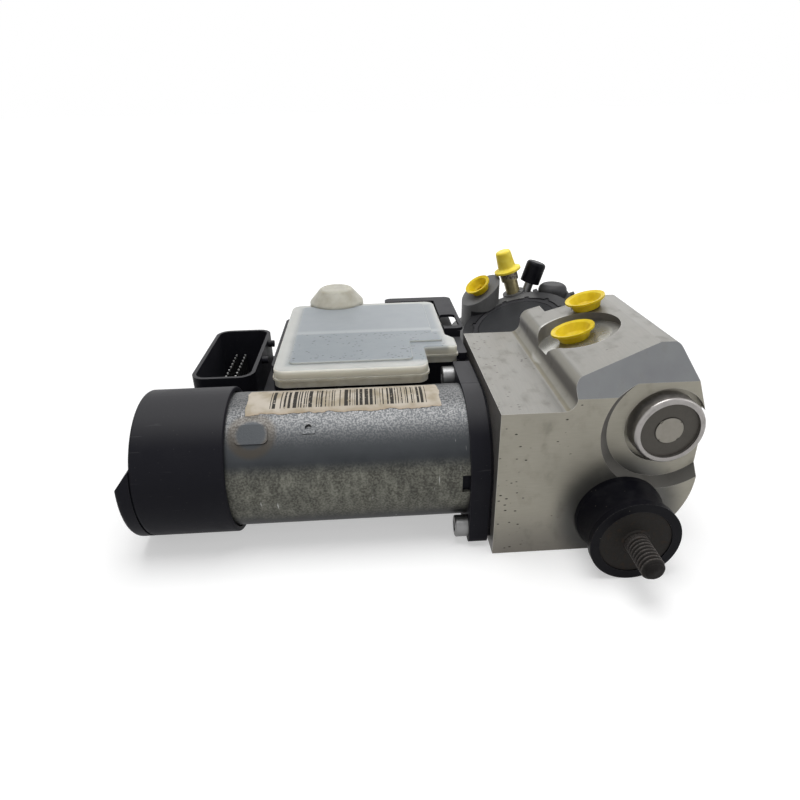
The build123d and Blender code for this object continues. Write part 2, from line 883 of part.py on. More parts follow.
# Rubber buffer between its base, screwed into the block, and its face plate with the mounting stud
with BuildPart() as buffer_base:
    with BuildSketch(front(block_front)):
        with Locations((stud_x, stud_z)):
            Circle(plate_r)
    extrude(amount=plate_thickness)
    with BuildSketch(front(block_front)):
        with Locations((stud_x, stud_z)):
            Circle(stud_r)
    extrude(amount=-base_stud)
buffer_base.part.label = "buffer_base"
export_step(buffer_base.part, "parts/buffer_base.step")

plate_front = buffer_front + plate_sink
plate_back = plate_front + plate_thickness
stud_axis = Axis(at(stud_x, 0, stud_z), (0, 1, 0))
stud_section = Plane(origin=at(stud_x, 0, stud_z), x_dir=(1, 0, 0), z_dir=(0, 0, -1))
with BuildPart() as rubber_buffer:
    with BuildSketch(stud_section):
        with BuildLine():
            Polyline(
                (plate_r, -buffer_front), (buffer_r, -buffer_front), (buffer_r, -buffer_front - buffer_rim))
            ThreePointArc(
                (buffer_r, -buffer_front - buffer_rim),
                (buffer_r - buffer_waist, -block_front + buffer_length / 2),
                (buffer_r, -block_front + buffer_rim))
            Polyline(
                (buffer_r, -block_front + buffer_rim), (buffer_r, -block_front), (plate_r, -block_front),
                (plate_r, -block_front + plate_thickness), (0, -block_front + plate_thickness),
                (0, -plate_back), (plate_r, -plate_back), (plate_r, -buffer_front))
        make_face()
    revolve(axis=stud_axis)
rubber_buffer.part.label = "rubber_buffer"
export_step(rubber_buffer.part, "parts/rubber_buffer.step")

with BuildPart() as stud:
    with BuildSketch(front(plate_back)):
        with Locations((stud_x, stud_z)):
            Circle(stud_r)
    extrude(amount=plate_back - buffer_front + stud_length)
    chamfer(stud.edges().sort_by(Axis.Y)[0], stud_chamfer)
    with BuildSketch(front(plate_back)):
        with Locations((stud_x, stud_z)):
            Circle(plate_r)
    extrude(amount=plate_thickness)
stud.part.label = "stud"
export_step(stud.part, "parts/stud.step")

# Transport plugs pressed into the ports: a stem, a flared cup and its rim
for (name, seat), radius in zip(cup_seats.items(), cup_radii):
    base = radius * cup_taper
    section = Plane(origin=seat.origin, x_dir=seat.x_dir, z_dir=-seat.y_dir)
    with BuildPart() as port_plug:
        with BuildSketch(section):
            outline(
                (0, -cup_stem), (port_r, -cup_stem), (port_r, 0), (base, 0),
                (radius - cup_rim * 2, cup_height - cup_rim * 2), (radius, cup_height - cup_rim),
                (radius, cup_height), (radius - cup_rim * 2, cup_height - cup_rim / 2),
                (base - cup_wall, cup_wall), (port_r - cup_wall, 0),
                (port_r - cup_wall, cup_wall - cup_stem), (0, cup_wall - cup_stem))
        revolve(axis=Axis(seat.origin, seat.z_dir))
    port_plug.part.label = name
    export_step(port_plug.part, f"parts/{name}.step")

# Solenoid valves: body pressed into the block, guide tube, armature and coil
tube_left_x = block_left - valve_tube_length
cavity_left = tube_left_x + valve_tube_wall
cavity_length = armature_length + armature_travel + 2 * armature_gap
coil_right = flange_thickness - case_wall
for number, place in enumerate(valve_places, 1):
    with BuildPart() as valve:
        with BuildSketch(across(block_left)):
            with Locations(place):
                Circle(valve_r)
        extrude(amount=valve_depth)
        with BuildSketch(across(tube_left_x)):
            with Locations(place):
                Circle(valve_tube_r)
        extrude(amount=valve_tube_length)
        fillet(valve.edges().sort_by(Axis.X)[0], valve_tube_wall)
        with BuildSketch(across(cavity_left)):
            with Locations(place):
                Circle(valve_tube_r - valve_tube_wall)
        extrude(amount=cavity_length, mode=Mode.SUBTRACT)
        with BuildSketch(across(cavity_left)):
            with Locations(place):
                Circle(valve_passage_r)
        extrude(amount=valve_tube_length + valve_depth, mode=Mode.SUBTRACT)
    valve.part.label = f"valve_{number}"
    export_step(valve.part, f"parts/valve_{number}.step")

    with BuildPart() as armature:
        with BuildSketch(across(cavity_left + armature_gap)):
            with Locations(place):
                Circle(valve_tube_r - valve_tube_wall - armature_clearance)
        extrude(amount=armature_length)
    armature.part.label = f"armature_{number}"
    export_step(armature.part, f"parts/armature_{number}.step")

# Coils of the four valves, wound on bobbins that one steel yoke carries
coil_left = coil_right - coil_length
with BuildPart() as coil_block:
    with BuildSketch(across(coil_left)):
        with Locations(*valve_places):
            Circle(coil_r)
    extrude(amount=coil_length)
    with BuildSketch(across(coil_left + bobbin_flange)):
        with Locations(*valve_places):
            Circle(coil_r)
            Circle(coil_r - bobbin_step, mode=Mode.SUBTRACT)
    extrude(amount=coil_length - 2 * bobbin_flange, mode=Mode.SUBTRACT)
    with BuildSketch(across(coil_right - bobbin_flange)):
        rectangle(
            valve_y - coil_r, valve_y + coil_r, valve_places[0][1] - coil_r, valve_places[-1][1] + coil_r,
            bobbin_flange)
    extrude(amount=bobbin_flange)
    with BuildSketch(across(coil_left)):
        with Locations(*valve_places):
            Circle(valve_tube_r + bobbin_clearance)
    extrude(amount=coil_length, mode=Mode.SUBTRACT)
coil_block.part.label = "coil_block"
export_step(coil_block.part, "parts/coil_block.step")

# Controller case: a moulded box, open below, with a hump beside the block and the connector's shroud
case_right = flange_thickness
hump_left = tank_right + bump_reach + hump_gap
lid_top = case_bottom + case_wall
shroud_right = case_left + shroud_width
pin_ys = [pin_first_y + k * pin_pitch for k in range(pin_count)]
pin_columns = [pin_first_x + k * pin_row_gap for k in range(pin_rows)]
post_ys = (case_front + case_wall + post_inset, case_back - case_wall - post_inset)
with BuildPart() as controller_case:
    with BuildSketch(level(lid_top)):
        rectangle(case_left, case_right, case_front, case_back, case_corner)
    extrude(amount=shroud_floor - lid_top)
    with BuildSketch(level(shroud_floor)):
        rectangle(shroud_right - case_corner, case_right, case_front, case_back, case_corner)
    extrude(amount=ledge_top - shroud_floor)
    with BuildSketch(level(ledge_top)):
        rectangle(body_left, case_right, case_front, case_back, case_corner)
    extrude(amount=case_top - ledge_top)
    with BuildSketch(level(case_top)):
        rectangle(hump_left, case_right, case_front, hump_back, case_wall / 2)
    extrude(amount=hump_top - case_top)
    with BuildSketch(level(shroud_floor)):
        rectangle(case_left, shroud_right, shroud_front, shroud_back, shroud_corner)
    extrude(amount=shroud_top - shroud_floor)
    # Inside of the box and of the shroud
    with BuildSketch(level(lid_top)):
        rectangle(
            case_left + case_wall, case_right - case_wall, case_front + case_wall, case_back - case_wall,
            case_wall)
    extrude(amount=shroud_floor - case_wall - lid_top, mode=Mode.SUBTRACT)
    with BuildSketch(level(lid_top)):
        rectangle(
            body_left + case_wall, case_right - case_wall, case_front + case_wall, case_back - case_wall,
            case_wall)
    extrude(amount=case_top - case_wall - lid_top, mode=Mode.SUBTRACT)
    with BuildSketch(level(shroud_floor)):
        rectangle(
            case_left + shroud_wall, shroud_right - shroud_wall, shroud_front + shroud_wall,
            shroud_back - shroud_wall, shroud_corner - shroud_wall)
    extrude(amount=shroud_top - shroud_floor, mode=Mode.SUBTRACT)
    # Posts that carry the circuit board, slots for the pin strips, holes for the valve tubes
    with BuildSketch(level(board_z + board_thickness)):
        with Locations(*[(x, y) for x in (post_left, post_right) for y in post_ys]):
            Circle(post_r)
    extrude(amount=case_top - case_wall - board_z - board_thickness)
    with BuildSketch(level(shroud_floor - case_wall)):
        rectangle(
            pin_columns[0] - pin_strip / 2, pin_columns[-1] + pin_strip / 2, pin_ys[0] - pin_strip / 2,
            pin_ys[-1] + pin_strip / 2)
    extrude(amount=case_wall, mode=Mode.SUBTRACT)
    with BuildSketch(across(case_right - case_wall)):
        with Locations(*valve_places):
            Circle(valve_tube_r + bobbin_clearance)
    extrude(amount=case_wall, mode=Mode.SUBTRACT)
    # Two catches on the shroud
    with BuildSketch(across(shroud_right)):
        with Locations(*[(y, knob_z) for y in knob_ys]):
            Circle(knob_r)
    extrude(amount=knob_length)
controller_case.part.label = "controller_case"
export_step(controller_case.part, "parts/controller_case.step")

with BuildPart() as controller_lid:
    with BuildSketch(level(case_bottom)):
        rectangle(case_left, case_right, case_front, case_back, case_corner)
    extrude(amount=case_wall)
    chamfer(controller_lid.faces().sort_by(Axis.Z)[0].edges(), case_wall / 4)
controller_lid.part.label = "controller_lid"
export_step(controller_lid.part, "parts/controller_lid.step")

with BuildPart() as controller_seal:
    with BuildSketch(across(case_right)):
        rectangle(case_front + seal_inset, block_back - seal_inset, lid_top, case_top - seal_inset)
        with Locations(*valve_places):
            Circle(valve_tube_r + bobbin_clearance, mode=Mode.SUBTRACT)
    extrude(amount=seal_thickness)
controller_seal.part.label = "controller_seal"
export_step(controller_seal.part, "parts/controller_seal.step")

with BuildPart() as circuit_board:
    with BuildSketch(level(board_z)):
        rectangle(
            case_left + case_wall + board_margin, board_right, case_front + case_wall + board_margin,
            case_back - case_wall - board_margin, board_margin)
        with Locations(*[(x, y) for x in pin_columns for y in pin_ys]):
            Circle(pin_hole_r, mode=Mode.SUBTRACT)
    extrude(amount=board_thickness)
circuit_board.part.label = "circuit_board"
export_step(circuit_board.part, "parts/circuit_board.step")

# Connector pins in two rows, held by one insert in the floor of the shroud
with BuildPart() as connector_pins:
    with BuildSketch(level(shroud_floor - case_wall)):
        rectangle(
            pin_columns[0] - pin_strip / 2, pin_columns[-1] + pin_strip / 2, pin_ys[0] - pin_strip / 2,
            pin_ys[-1] + pin_strip / 2)
    extrude(amount=case_wall)
    with BuildSketch(level(board_z - pin_tail)):
        with Locations(*[(x, y) for x in pin_columns for y in pin_ys]):
            Rectangle(pin_size, pin_size)
    extrude(amount=pin_top - board_z + pin_tail)
connector_pins.part.label = "connector_pins"
export_step(connector_pins.part, "parts/connector_pins.step")


def tank_outline(inset, corner):
    """Reservoir seen from above: a notch clears the flange screw and a bump reaches over the hump."""
    left = tank_left + inset
    right = tank_right - inset
    near = tank_front + inset
    far = tank_back - inset
    notch_x = tank_right - notch_width - inset
    notch_y = notch_back + inset
    bump_x = tank_right + bump_reach - inset
    outline(
        (left, near), (notch_x, near), (notch_x, notch_y), (bump_x, notch_y), (bump_x, bump_back),
        (right, bump_back + bump_slope), (right, far), (left, far),
        radius=[corner, corner, corner / 3, corner / 3, corner / 4, corner / 4, corner, corner])


# Fluid reservoir: a tray with the filler neck behind it, and a lid welded on at the seam
tank_bottom = case_top
neck_foot = at(neck_x, neck_y, tank_bottom)
with BuildPart() as reservoir_tray:
    with BuildSketch(Plane(origin=neck_foot, x_dir=(1, 0, 0), z_dir=(0, -1, 0))):
        outline(
            (0, 0), (neck_r, 0), (neck_r, neck_shoulder), (neck_top_r, neck_height), (0, neck_height),
            radius=[0, 0, neck_edge, neck_edge, 0])
    revolve(axis=Axis(neck_foot, (0, 0, 1)))
    with BuildSketch(level(tank_seam)):
        tank_outline(0, tank_corner)
    extrude(amount=tank_top - tank_seam, mode=Mode.SUBTRACT)
    with BuildSketch(level(tank_top)):
        tank_outline(panel_margin, tank_corner / 2)
    extrude(amount=panel_height, mode=Mode.SUBTRACT)
    with BuildSketch(level(tank_bottom)):
        tank_outline(0, tank_corner)
    extrude(amount=tank_seam - tank_bottom)
    with BuildSketch(level(tank_seam - weld_height)):
        tank_outline(-weld_reach, tank_corner)
    extrude(amount=weld_height)
    with BuildSketch(level(tank_bottom + tank_wall)):
        tank_outline(tank_wall, tank_corner - tank_wall)
    extrude(amount=tank_seam - tank_bottom - tank_wall, mode=Mode.SUBTRACT)
reservoir_tray.part.label = "reservoir_tray"
export_step(reservoir_tray.part, "parts/reservoir_tray.step")

with BuildPart() as reservoir_lid:
    with BuildSketch(level(tank_seam)):
        tank_outline(0, tank_corner)
    extrude(amount=tank_top - tank_seam)
    fillet(reservoir_lid.faces().sort_by(Axis.Z)[-1].edges(), tank_edge)
    with BuildSketch(level(tank_top)):
        tank_outline(panel_margin, tank_corner / 2)
    extrude(amount=panel_height)
    fillet(reservoir_lid.faces().sort_by(Axis.Z)[-1].edges(), panel_edge)
    with BuildSketch(level(tank_seam)):
        tank_outline(tank_wall, tank_corner - tank_wall)
    extrude(amount=tank_top - tank_wall - tank_seam, mode=Mode.SUBTRACT)
reservoir_lid.part.label = "reservoir_lid"
export_step(reservoir_lid.part, "parts/reservoir_lid.step")

# Bracket: bent sheet behind and beside the reservoir, standing on the hump and on the case
with BuildPart() as bracket:
    with BuildSketch(level(bracket_z)):
        rectangle(bracket_left, bracket_right, bracket_front, bracket_back, bracket_corner)
        rectangle(
            bracket_left, tank_right + bracket_gap, bracket_front, tank_back + bracket_gap,
            mode=Mode.SUBTRACT)
        rectangle(
            tank_right + bracket_gap, window_right, window_front, window_back, window_corner,
            mode=Mode.SUBTRACT)
    extrude(amount=bracket_sheet)
    with BuildSketch(level(hump_top)):
        rectangle(tank_right + bracket_gap, case_right, bracket_front, bracket_front + bracket_sheet)
    extrude(amount=bracket_z - hump_top)
    with BuildSketch(level(case_top)):
        rectangle(
            bracket_left + bracket_corner, case_right - case_corner, case_back - bracket_sheet, case_back)
    extrude(amount=bracket_z - case_top)
bracket.part.label = "bracket"
export_step(bracket.part, "parts/bracket.step")

# Rear housing: a casting with a sloping deck, a round well with a notched edge, a port tower and a lug
cover_plane = tilted(cover_x, cover_y, cover_z, cover_left_angle, cover_near_angle)
deck_plane = cover_plane.offset(-cover_height)
tube_seat = tilted(tube_x, tube_y, boss_z, tube_left_angle, 0)
nipple_seat = tilted(nipple_x, tube_y, boss_z, nipple_left_angle, 0)
rib_steps = [rib_pitch * (k - (rib_count - 1) / 2) for k in range(rib_count)]
rib_xs = [(rear_left + rear_right) / 2 + step for step in rib_steps]
rib_ys = [(block_back + rear_back) / 2 + step for step in rib_steps]
with BuildPart() as tower:
    with BuildSketch(level(0)):
        with Locations((tower_x, tower_y)):
            Circle(tower_r)
    extrude(amount=tower_seat_z + tower_r)
    split(bisect_by=cup_seats["port_plug_3"], keep=Keep.BOTTOM)
with BuildPart() as lug:
    with BuildSketch(level(0)):
        with Locations((lug_x, lug_y)):
            Circle(lug_r)
    extrude(amount=lug_z)
    fillet(lug.edges().sort_by(Axis.Z)[-1], lug_edge)
with BuildPart() as rear_housing:
    with BuildSketch(level(rear_bottom)):
        rectangle(rear_left, rear_right, block_back, rear_back, rear_corner)
        with Locations(*[(x, rear_back) for x in rib_xs]):
            Rectangle(rib_thickness, rib_height * 2)
        with Locations(*[(rear_right, y) for y in rib_ys]):
            Rectangle(rib_height * 2, rib_thickness)
    extrude(amount=crest_z - rear_bottom)
    split(bisect_by=deck_plane, keep=Keep.BOTTOM)
    with BuildSketch(level(rear_bottom)):
        rectangle(rear_left, rear_right + rib_height, block_back, rear_back + rib_height, rear_corner)
    extrude(amount=foot_height)
    with BuildSketch(deck_plane):
        Circle(cover_r)
    extrude(amount=cover_height)
    with BuildSketch(tube_seat, nipple_seat):
        Circle(boss_r)
    extrude(amount=-boss_depth)
    add(tower.part)
    add(lug.part)
    with BuildSketch(cover_plane):
        Circle(gap_r)
        with PolarLocations(gap_r, notch_count):
            Rectangle(notch_size, notch_size)
    extrude(amount=-gap_depth, mode=Mode.SUBTRACT)
    with BuildSketch(tube_seat.offset(-stem_sink)):
        Circle(tube_r)
    extrude(amount=boss_r, mode=Mode.SUBTRACT)
    with BuildSketch(nipple_seat.offset(-stem_sink)):
        Circle(nipple_r)
    extrude(amount=boss_r, mode=Mode.SUBTRACT)
    with BuildSketch(cup_seats["port_plug_3"]):
        Circle(port_r)
    extrude(amount=-port_depth, mode=Mode.SUBTRACT)
rear_housing.part.label = "rear_housing"
export_step(rear_housing.part, "parts/rear_housing.step")

well_floor = cover_plane.offset(-gap_depth)
with BuildPart() as cover_disc:
    with BuildSketch(well_floor):
        Circle(disc_r)
    extrude(amount=disc_thickness)
    chamfer(cover_disc.faces().sort_by(Axis.Z)[-1].edges(), disc_thickness / 6)
cover_disc.part.label = "cover_disc"
export_step(cover_disc.part, "parts/cover_disc.step")

# Notched band that holds the disc in its well
with BuildPart() as cover_band:
    with BuildSketch(well_floor):
        Circle(gap_r - band_gap)
        with PolarLocations(gap_r, notch_count):
            Rectangle(notch_size - band_gap * 2, notch_size - band_gap * 2)
        Circle(disc_r + band_gap, mode=Mode.SUBTRACT)
    extrude(amount=band_height)
cover_band.part.label = "cover_band"
export_step(cover_band.part, "parts/cover_band.step")

# Hose stem with its collar and transport cap, and the bleed nipple under its rubber boot
with BuildPart() as hose_stem:
    with BuildSketch(tube_seat.offset(-stem_sink)):
        Circle(tube_r)
        Circle(tube_bore, mode=Mode.SUBTRACT)
    extrude(amount=tube_length + stem_sink)
    with BuildSketch(tube_seat.offset(tube_cap_start - collar_length)):
        Circle(collar_r)
        Circle(tube_r, mode=Mode.SUBTRACT)
    extrude(amount=collar_length)
hose_stem.part.label = "hose_stem"
export_step(hose_stem.part, "parts/hose_stem.step")

cap_seat = tube_seat.offset(tube_cap_start)
with BuildPart() as hose_cap:
    with BuildSketch(Plane(origin=cap_seat.origin, x_dir=cap_seat.x_dir, z_dir=-cap_seat.y_dir)):
        outline(
            (tube_r, 0), (tube_cap_r, 0), (tube_cap_r, tube_cap_rim), (tube_cap_body_r, tube_cap_rim * 2),
            (tube_cap_top_r, tube_cap_height), (0, tube_cap_height), (0, tube_length - tube_cap_start),
            (tube_r, tube_length - tube_cap_start),
            radius=[0, 0, 0, tube_cap_rim, tube_cap_edge, 0, 0, 0])
    revolve(axis=Axis(cap_seat.origin, cap_seat.z_dir))
hose_cap.part.label = "hose_cap"
export_step(hose_cap.part, "parts/hose_cap.step")

with BuildPart() as bleed_nipple:
    with BuildSketch(nipple_seat.offset(-stem_sink)):
        Circle(nipple_r)
    extrude(amount=nipple_length + stem_sink)
bleed_nipple.part.label = "bleed_nipple"
export_step(bleed_nipple.part, "parts/bleed_nipple.step")

with BuildPart() as nipple_boot:
    with BuildSketch(nipple_seat.offset(boot_start)):
        Circle(boot_r)
    extrude(amount=boot_length)
    fillet(nipple_boot.faces().sort_by(Axis.Z)[-1].edges(), boot_edge)
    with BuildSketch(nipple_seat.offset(boot_start)):
        Circle(nipple_r)
    extrude(amount=nipple_length - boot_start, mode=Mode.SUBTRACT)
nipple_boot.part.label = "nipple_boot"
export_step(nipple_boot.part, "parts/nipple_boot.step")
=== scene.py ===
# %% [markdown]
# # Dressing an anti-lock brake module
# The solid model arrives as a fixed frame: every housing, screw and spring is already in its place and at
# its real size. This lesson gives each of them its finish, adds the few thin or fine things that a solid
# model leaves out, and sets up a plain studio shot. All lengths are metres, +Z is up, and the origin is
# where the mounting stud leaves its rubber buffer.

import json

import bpy
import numpy as np
from mathutils import Matrix, Vector

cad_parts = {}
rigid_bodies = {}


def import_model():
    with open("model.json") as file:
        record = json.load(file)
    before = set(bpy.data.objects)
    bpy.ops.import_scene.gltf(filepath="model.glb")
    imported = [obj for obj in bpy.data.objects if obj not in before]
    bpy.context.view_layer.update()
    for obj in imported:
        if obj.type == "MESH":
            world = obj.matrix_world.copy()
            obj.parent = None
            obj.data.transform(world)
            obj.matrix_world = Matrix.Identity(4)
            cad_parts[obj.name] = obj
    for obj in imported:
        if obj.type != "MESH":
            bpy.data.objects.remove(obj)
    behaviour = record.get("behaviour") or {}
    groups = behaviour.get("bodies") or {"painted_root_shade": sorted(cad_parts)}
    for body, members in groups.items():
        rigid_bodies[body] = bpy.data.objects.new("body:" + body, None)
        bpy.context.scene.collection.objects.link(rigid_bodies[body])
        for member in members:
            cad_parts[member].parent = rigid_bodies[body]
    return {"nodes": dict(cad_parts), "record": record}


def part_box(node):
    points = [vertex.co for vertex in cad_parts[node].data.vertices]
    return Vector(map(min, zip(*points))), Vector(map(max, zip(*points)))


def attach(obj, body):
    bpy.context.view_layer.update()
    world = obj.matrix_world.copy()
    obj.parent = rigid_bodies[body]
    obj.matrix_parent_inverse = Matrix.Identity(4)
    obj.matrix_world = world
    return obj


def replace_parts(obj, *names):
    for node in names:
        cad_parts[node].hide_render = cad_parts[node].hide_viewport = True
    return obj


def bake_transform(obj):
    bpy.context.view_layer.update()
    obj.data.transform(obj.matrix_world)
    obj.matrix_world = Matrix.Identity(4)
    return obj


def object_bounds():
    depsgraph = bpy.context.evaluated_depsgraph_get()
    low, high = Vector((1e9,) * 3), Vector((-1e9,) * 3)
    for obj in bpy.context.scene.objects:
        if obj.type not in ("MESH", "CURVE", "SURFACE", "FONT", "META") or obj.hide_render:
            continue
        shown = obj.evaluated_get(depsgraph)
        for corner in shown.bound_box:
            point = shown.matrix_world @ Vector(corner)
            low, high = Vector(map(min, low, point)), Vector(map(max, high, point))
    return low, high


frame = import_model()
nodes = frame["nodes"]
cad_low, cad_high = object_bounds()
print("parts", len(nodes), "size in mm", [round(1000 * d, 1) for d in cad_high - cad_low])

# %% [markdown]
# Patterns have to sit on the parts, so their centres are read from the parts' own boxes instead of being
# typed in twice: the motor's axis from its can, the plug's axis from its disc, the stud from its seat.

# %% Centres and edges that the finishes need
mm = 0.001


def middle(name):
    """Centre of a part's box."""
    low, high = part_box(name)
    return (low + high) / 2


can_low, can_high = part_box("motor_can")
motor = middle("rotor_core")
can_radius = (can_high.z - can_low.z) / 2
pad_angle = np.radians(131)
pad_from_flange = 94.5 * mm
pad_radius = 5.5 * mm
pad_place = motor + can_radius * Vector((0, np.cos(pad_angle), np.sin(pad_angle)))
pad_place.x = can_high.x - pad_from_flange
plug_centre = middle("plug_cover")
stud_low, stud_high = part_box("stud")
stud_base = Vector(((stud_low.x + stud_high.x) / 2, 0.0, (stud_low.z + stud_high.z) / 2))
block_low, block_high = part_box("valve_block")
flange_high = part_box("flange")[1]
print("can radius in mm", round(can_radius / mm, 2))

# %% [markdown]
# Shader patterns are arithmetic: a stain is a noise, raised above an edge, times an amount. Blender has a
# node for each of these steps, and wiring them by hand hides the sum. A small class wraps one output of a
# node and gives it Python's operators, so that `1 - stain * 0.5` reads as what it is. Each operator has a
# reflected form as well, for a number that comes first. Colours can't pass through a Math node, which would
# turn them grey, so they have their own mixing method.

# %% A wire that can be added and multiplied
class Wire:
    """One output of a shader node, on which Python's operators add Math nodes."""

    def __init__(self, finish, socket):
        self.finish = finish
        self.socket = socket

    def math(self, operation, first, second):
        return self.finish.node("Math", {"operation": operation}, {0: first, 1: second})

    def __add__(self, other):
        return self.math("ADD", self, other)

    def __radd__(self, other):
        return self.math("ADD", other, self)

    def __sub__(self, other):
        return self.math("SUBTRACT", self, other)

    def __rsub__(self, other):
        return self.math("SUBTRACT", other, self)

    def __mul__(self, other):
        return self.math("MULTIPLY", self, other)

    def __rmul__(self, other):
        return self.math("MULTIPLY", other, self)

    def __truediv__(self, other):
        return self.math("DIVIDE", self, other)

    def __rtruediv__(self, other):
        return self.math("DIVIDE", other, self)

    def __pow__(self, other):
        return self.math("POWER", self, other)

    def __rpow__(self, other):
        return self.math("POWER", other, self)

    def over(self, start, end):
        """Nothing below start, everything above end, and a soft step between them."""
        sockets = {"Value": self, "From Min": start, "From Max": end}
        return self.finish.node("MapRange", {"interpolation_type": "SMOOTHSTEP"}, sockets)

    def under(self, start, end):
        """Everything below start, nothing above end."""
        return 1 - self.over(start, end)


# %% [markdown]
# A finish is a material that starts with one Principled shader. Its method `node` makes any node from its
# type, its settings and what goes into its sockets. The rest are the patterns that come back all the time:
# a grain, a streak along one direction, specks, worn edges and a bump.

# %% A finish and its usual patterns
class Finish:
    """A material with a Principled shader, and short names for the patterns that feed it."""

    def __init__(self, name, colour, roughness, metallic=0.0, **fixed):
        self.material = bpy.data.materials.new(name)
        self.material.use_nodes = True
        self.tree = self.material.node_tree
        self.tree.nodes.clear()
        output = self.tree.nodes.new("ShaderNodeOutputMaterial")
        self.shader = self.tree.nodes.new("ShaderNodeBsdfPrincipled")
        self.tree.links.new(self.shader.outputs[0], output.inputs[0])
        self.give("Base Color", colour)
        self.give("Roughness", roughness)
        self.give("Metallic", metallic)
        for socket, value in fixed.items():
            self.give(socket.replace("_", " "), value)
        self.place = self.node("TexCoord", {}, {}, "Object")
        self.facing = self.node("TexCoord", {}, {}, "Normal")

    def give(self, socket, value):
        """Set one input of the shader, to a wire or to a number."""
        self.join(self.shader.inputs[socket], value)

    def join(self, socket, value):
        if isinstance(value, Wire):
            self.tree.links.new(value.socket, socket)
        elif socket.type == "RGBA" and len(value) == 3:
            socket.default_value = (*value, 1.0)
        else:
            socket.default_value = value

    def node(self, kind, settings, sockets, out=0):
        """Add a node by its type; its settings come first, because they decide which sockets it has."""
        made = self.tree.nodes.new("ShaderNode" + kind)
        for setting, value in settings.items():
            setattr(made, setting, value)
        for socket, value in sockets.items():
            self.join(made.inputs[socket], value)
        return Wire(self, made.outputs[out])

    def mixed(self, below, above, amount):
        """The colour below, covered by the colour above as far as the amount says."""
        return self.node("Mix", {"data_type": "RGBA"}, {0: amount, 6: below, 7: above}, 2)

    def stretched(self, x=1.0, y=1.0, z=1.0):
        """Object coordinates with each direction scaled by itself."""
        return self.node("VectorMath", {"operation": "MULTIPLY"}, {0: self.place, 1: (x, y, z)})

    def grain(self, size, detail=3.0, where=None):
        """Cloudy noise with features of about this size in metres."""
        where = self.place if where is None else where
        return self.node("TexNoise", {}, {"Vector": where, "Scale": 1 / size, "Detail": detail})

    def specks(self, size, share, where=None):
        """Small round dots, one in each cell of this size, as large as the share of the cell."""
        where = self.place if where is None else where
        spread = self.node("TexVoronoi", {}, {"Vector": where, "Scale": 1 / size}, "Distance")
        return spread.under(share * 0.6, share)

    def axes(self, vector):
        """The three components of a vector as wires."""
        split = self.tree.nodes.new("ShaderNodeSeparateXYZ")
        self.tree.links.new(vector.socket, split.inputs[0])
        return [Wire(self, output) for output in split.outputs]

    def around(self, centre, first, second):
        """Distance from a line through the centre, square to the two axes named by number."""
        axes = self.axes(self.place)
        a = axes[first] - centre[first]
        b = axes[second] - centre[second]
        return (a * a + b * b) ** 0.5

    def edges(self, width):
        """How sharply the surface turns within this width: one on an edge, nothing on a flat."""
        soft = self.node("Bevel", {"samples": 6}, {"Radius": width})
        sharp = self.node("NewGeometry", {}, {}, "Normal")
        alike = self.node("VectorMath", {"operation": "DOT_PRODUCT"}, {0: soft, 1: sharp}, "Value")
        return alike.under(0.75, 0.995)

    def bump(self, height, depth, strength=1.0):
        """Raise the surface by a pattern; the depth is in metres."""
        sockets = {"Height": height, "Distance": depth, "Strength": strength}
        self.give("Normal", self.node("Bump", {}, sockets))
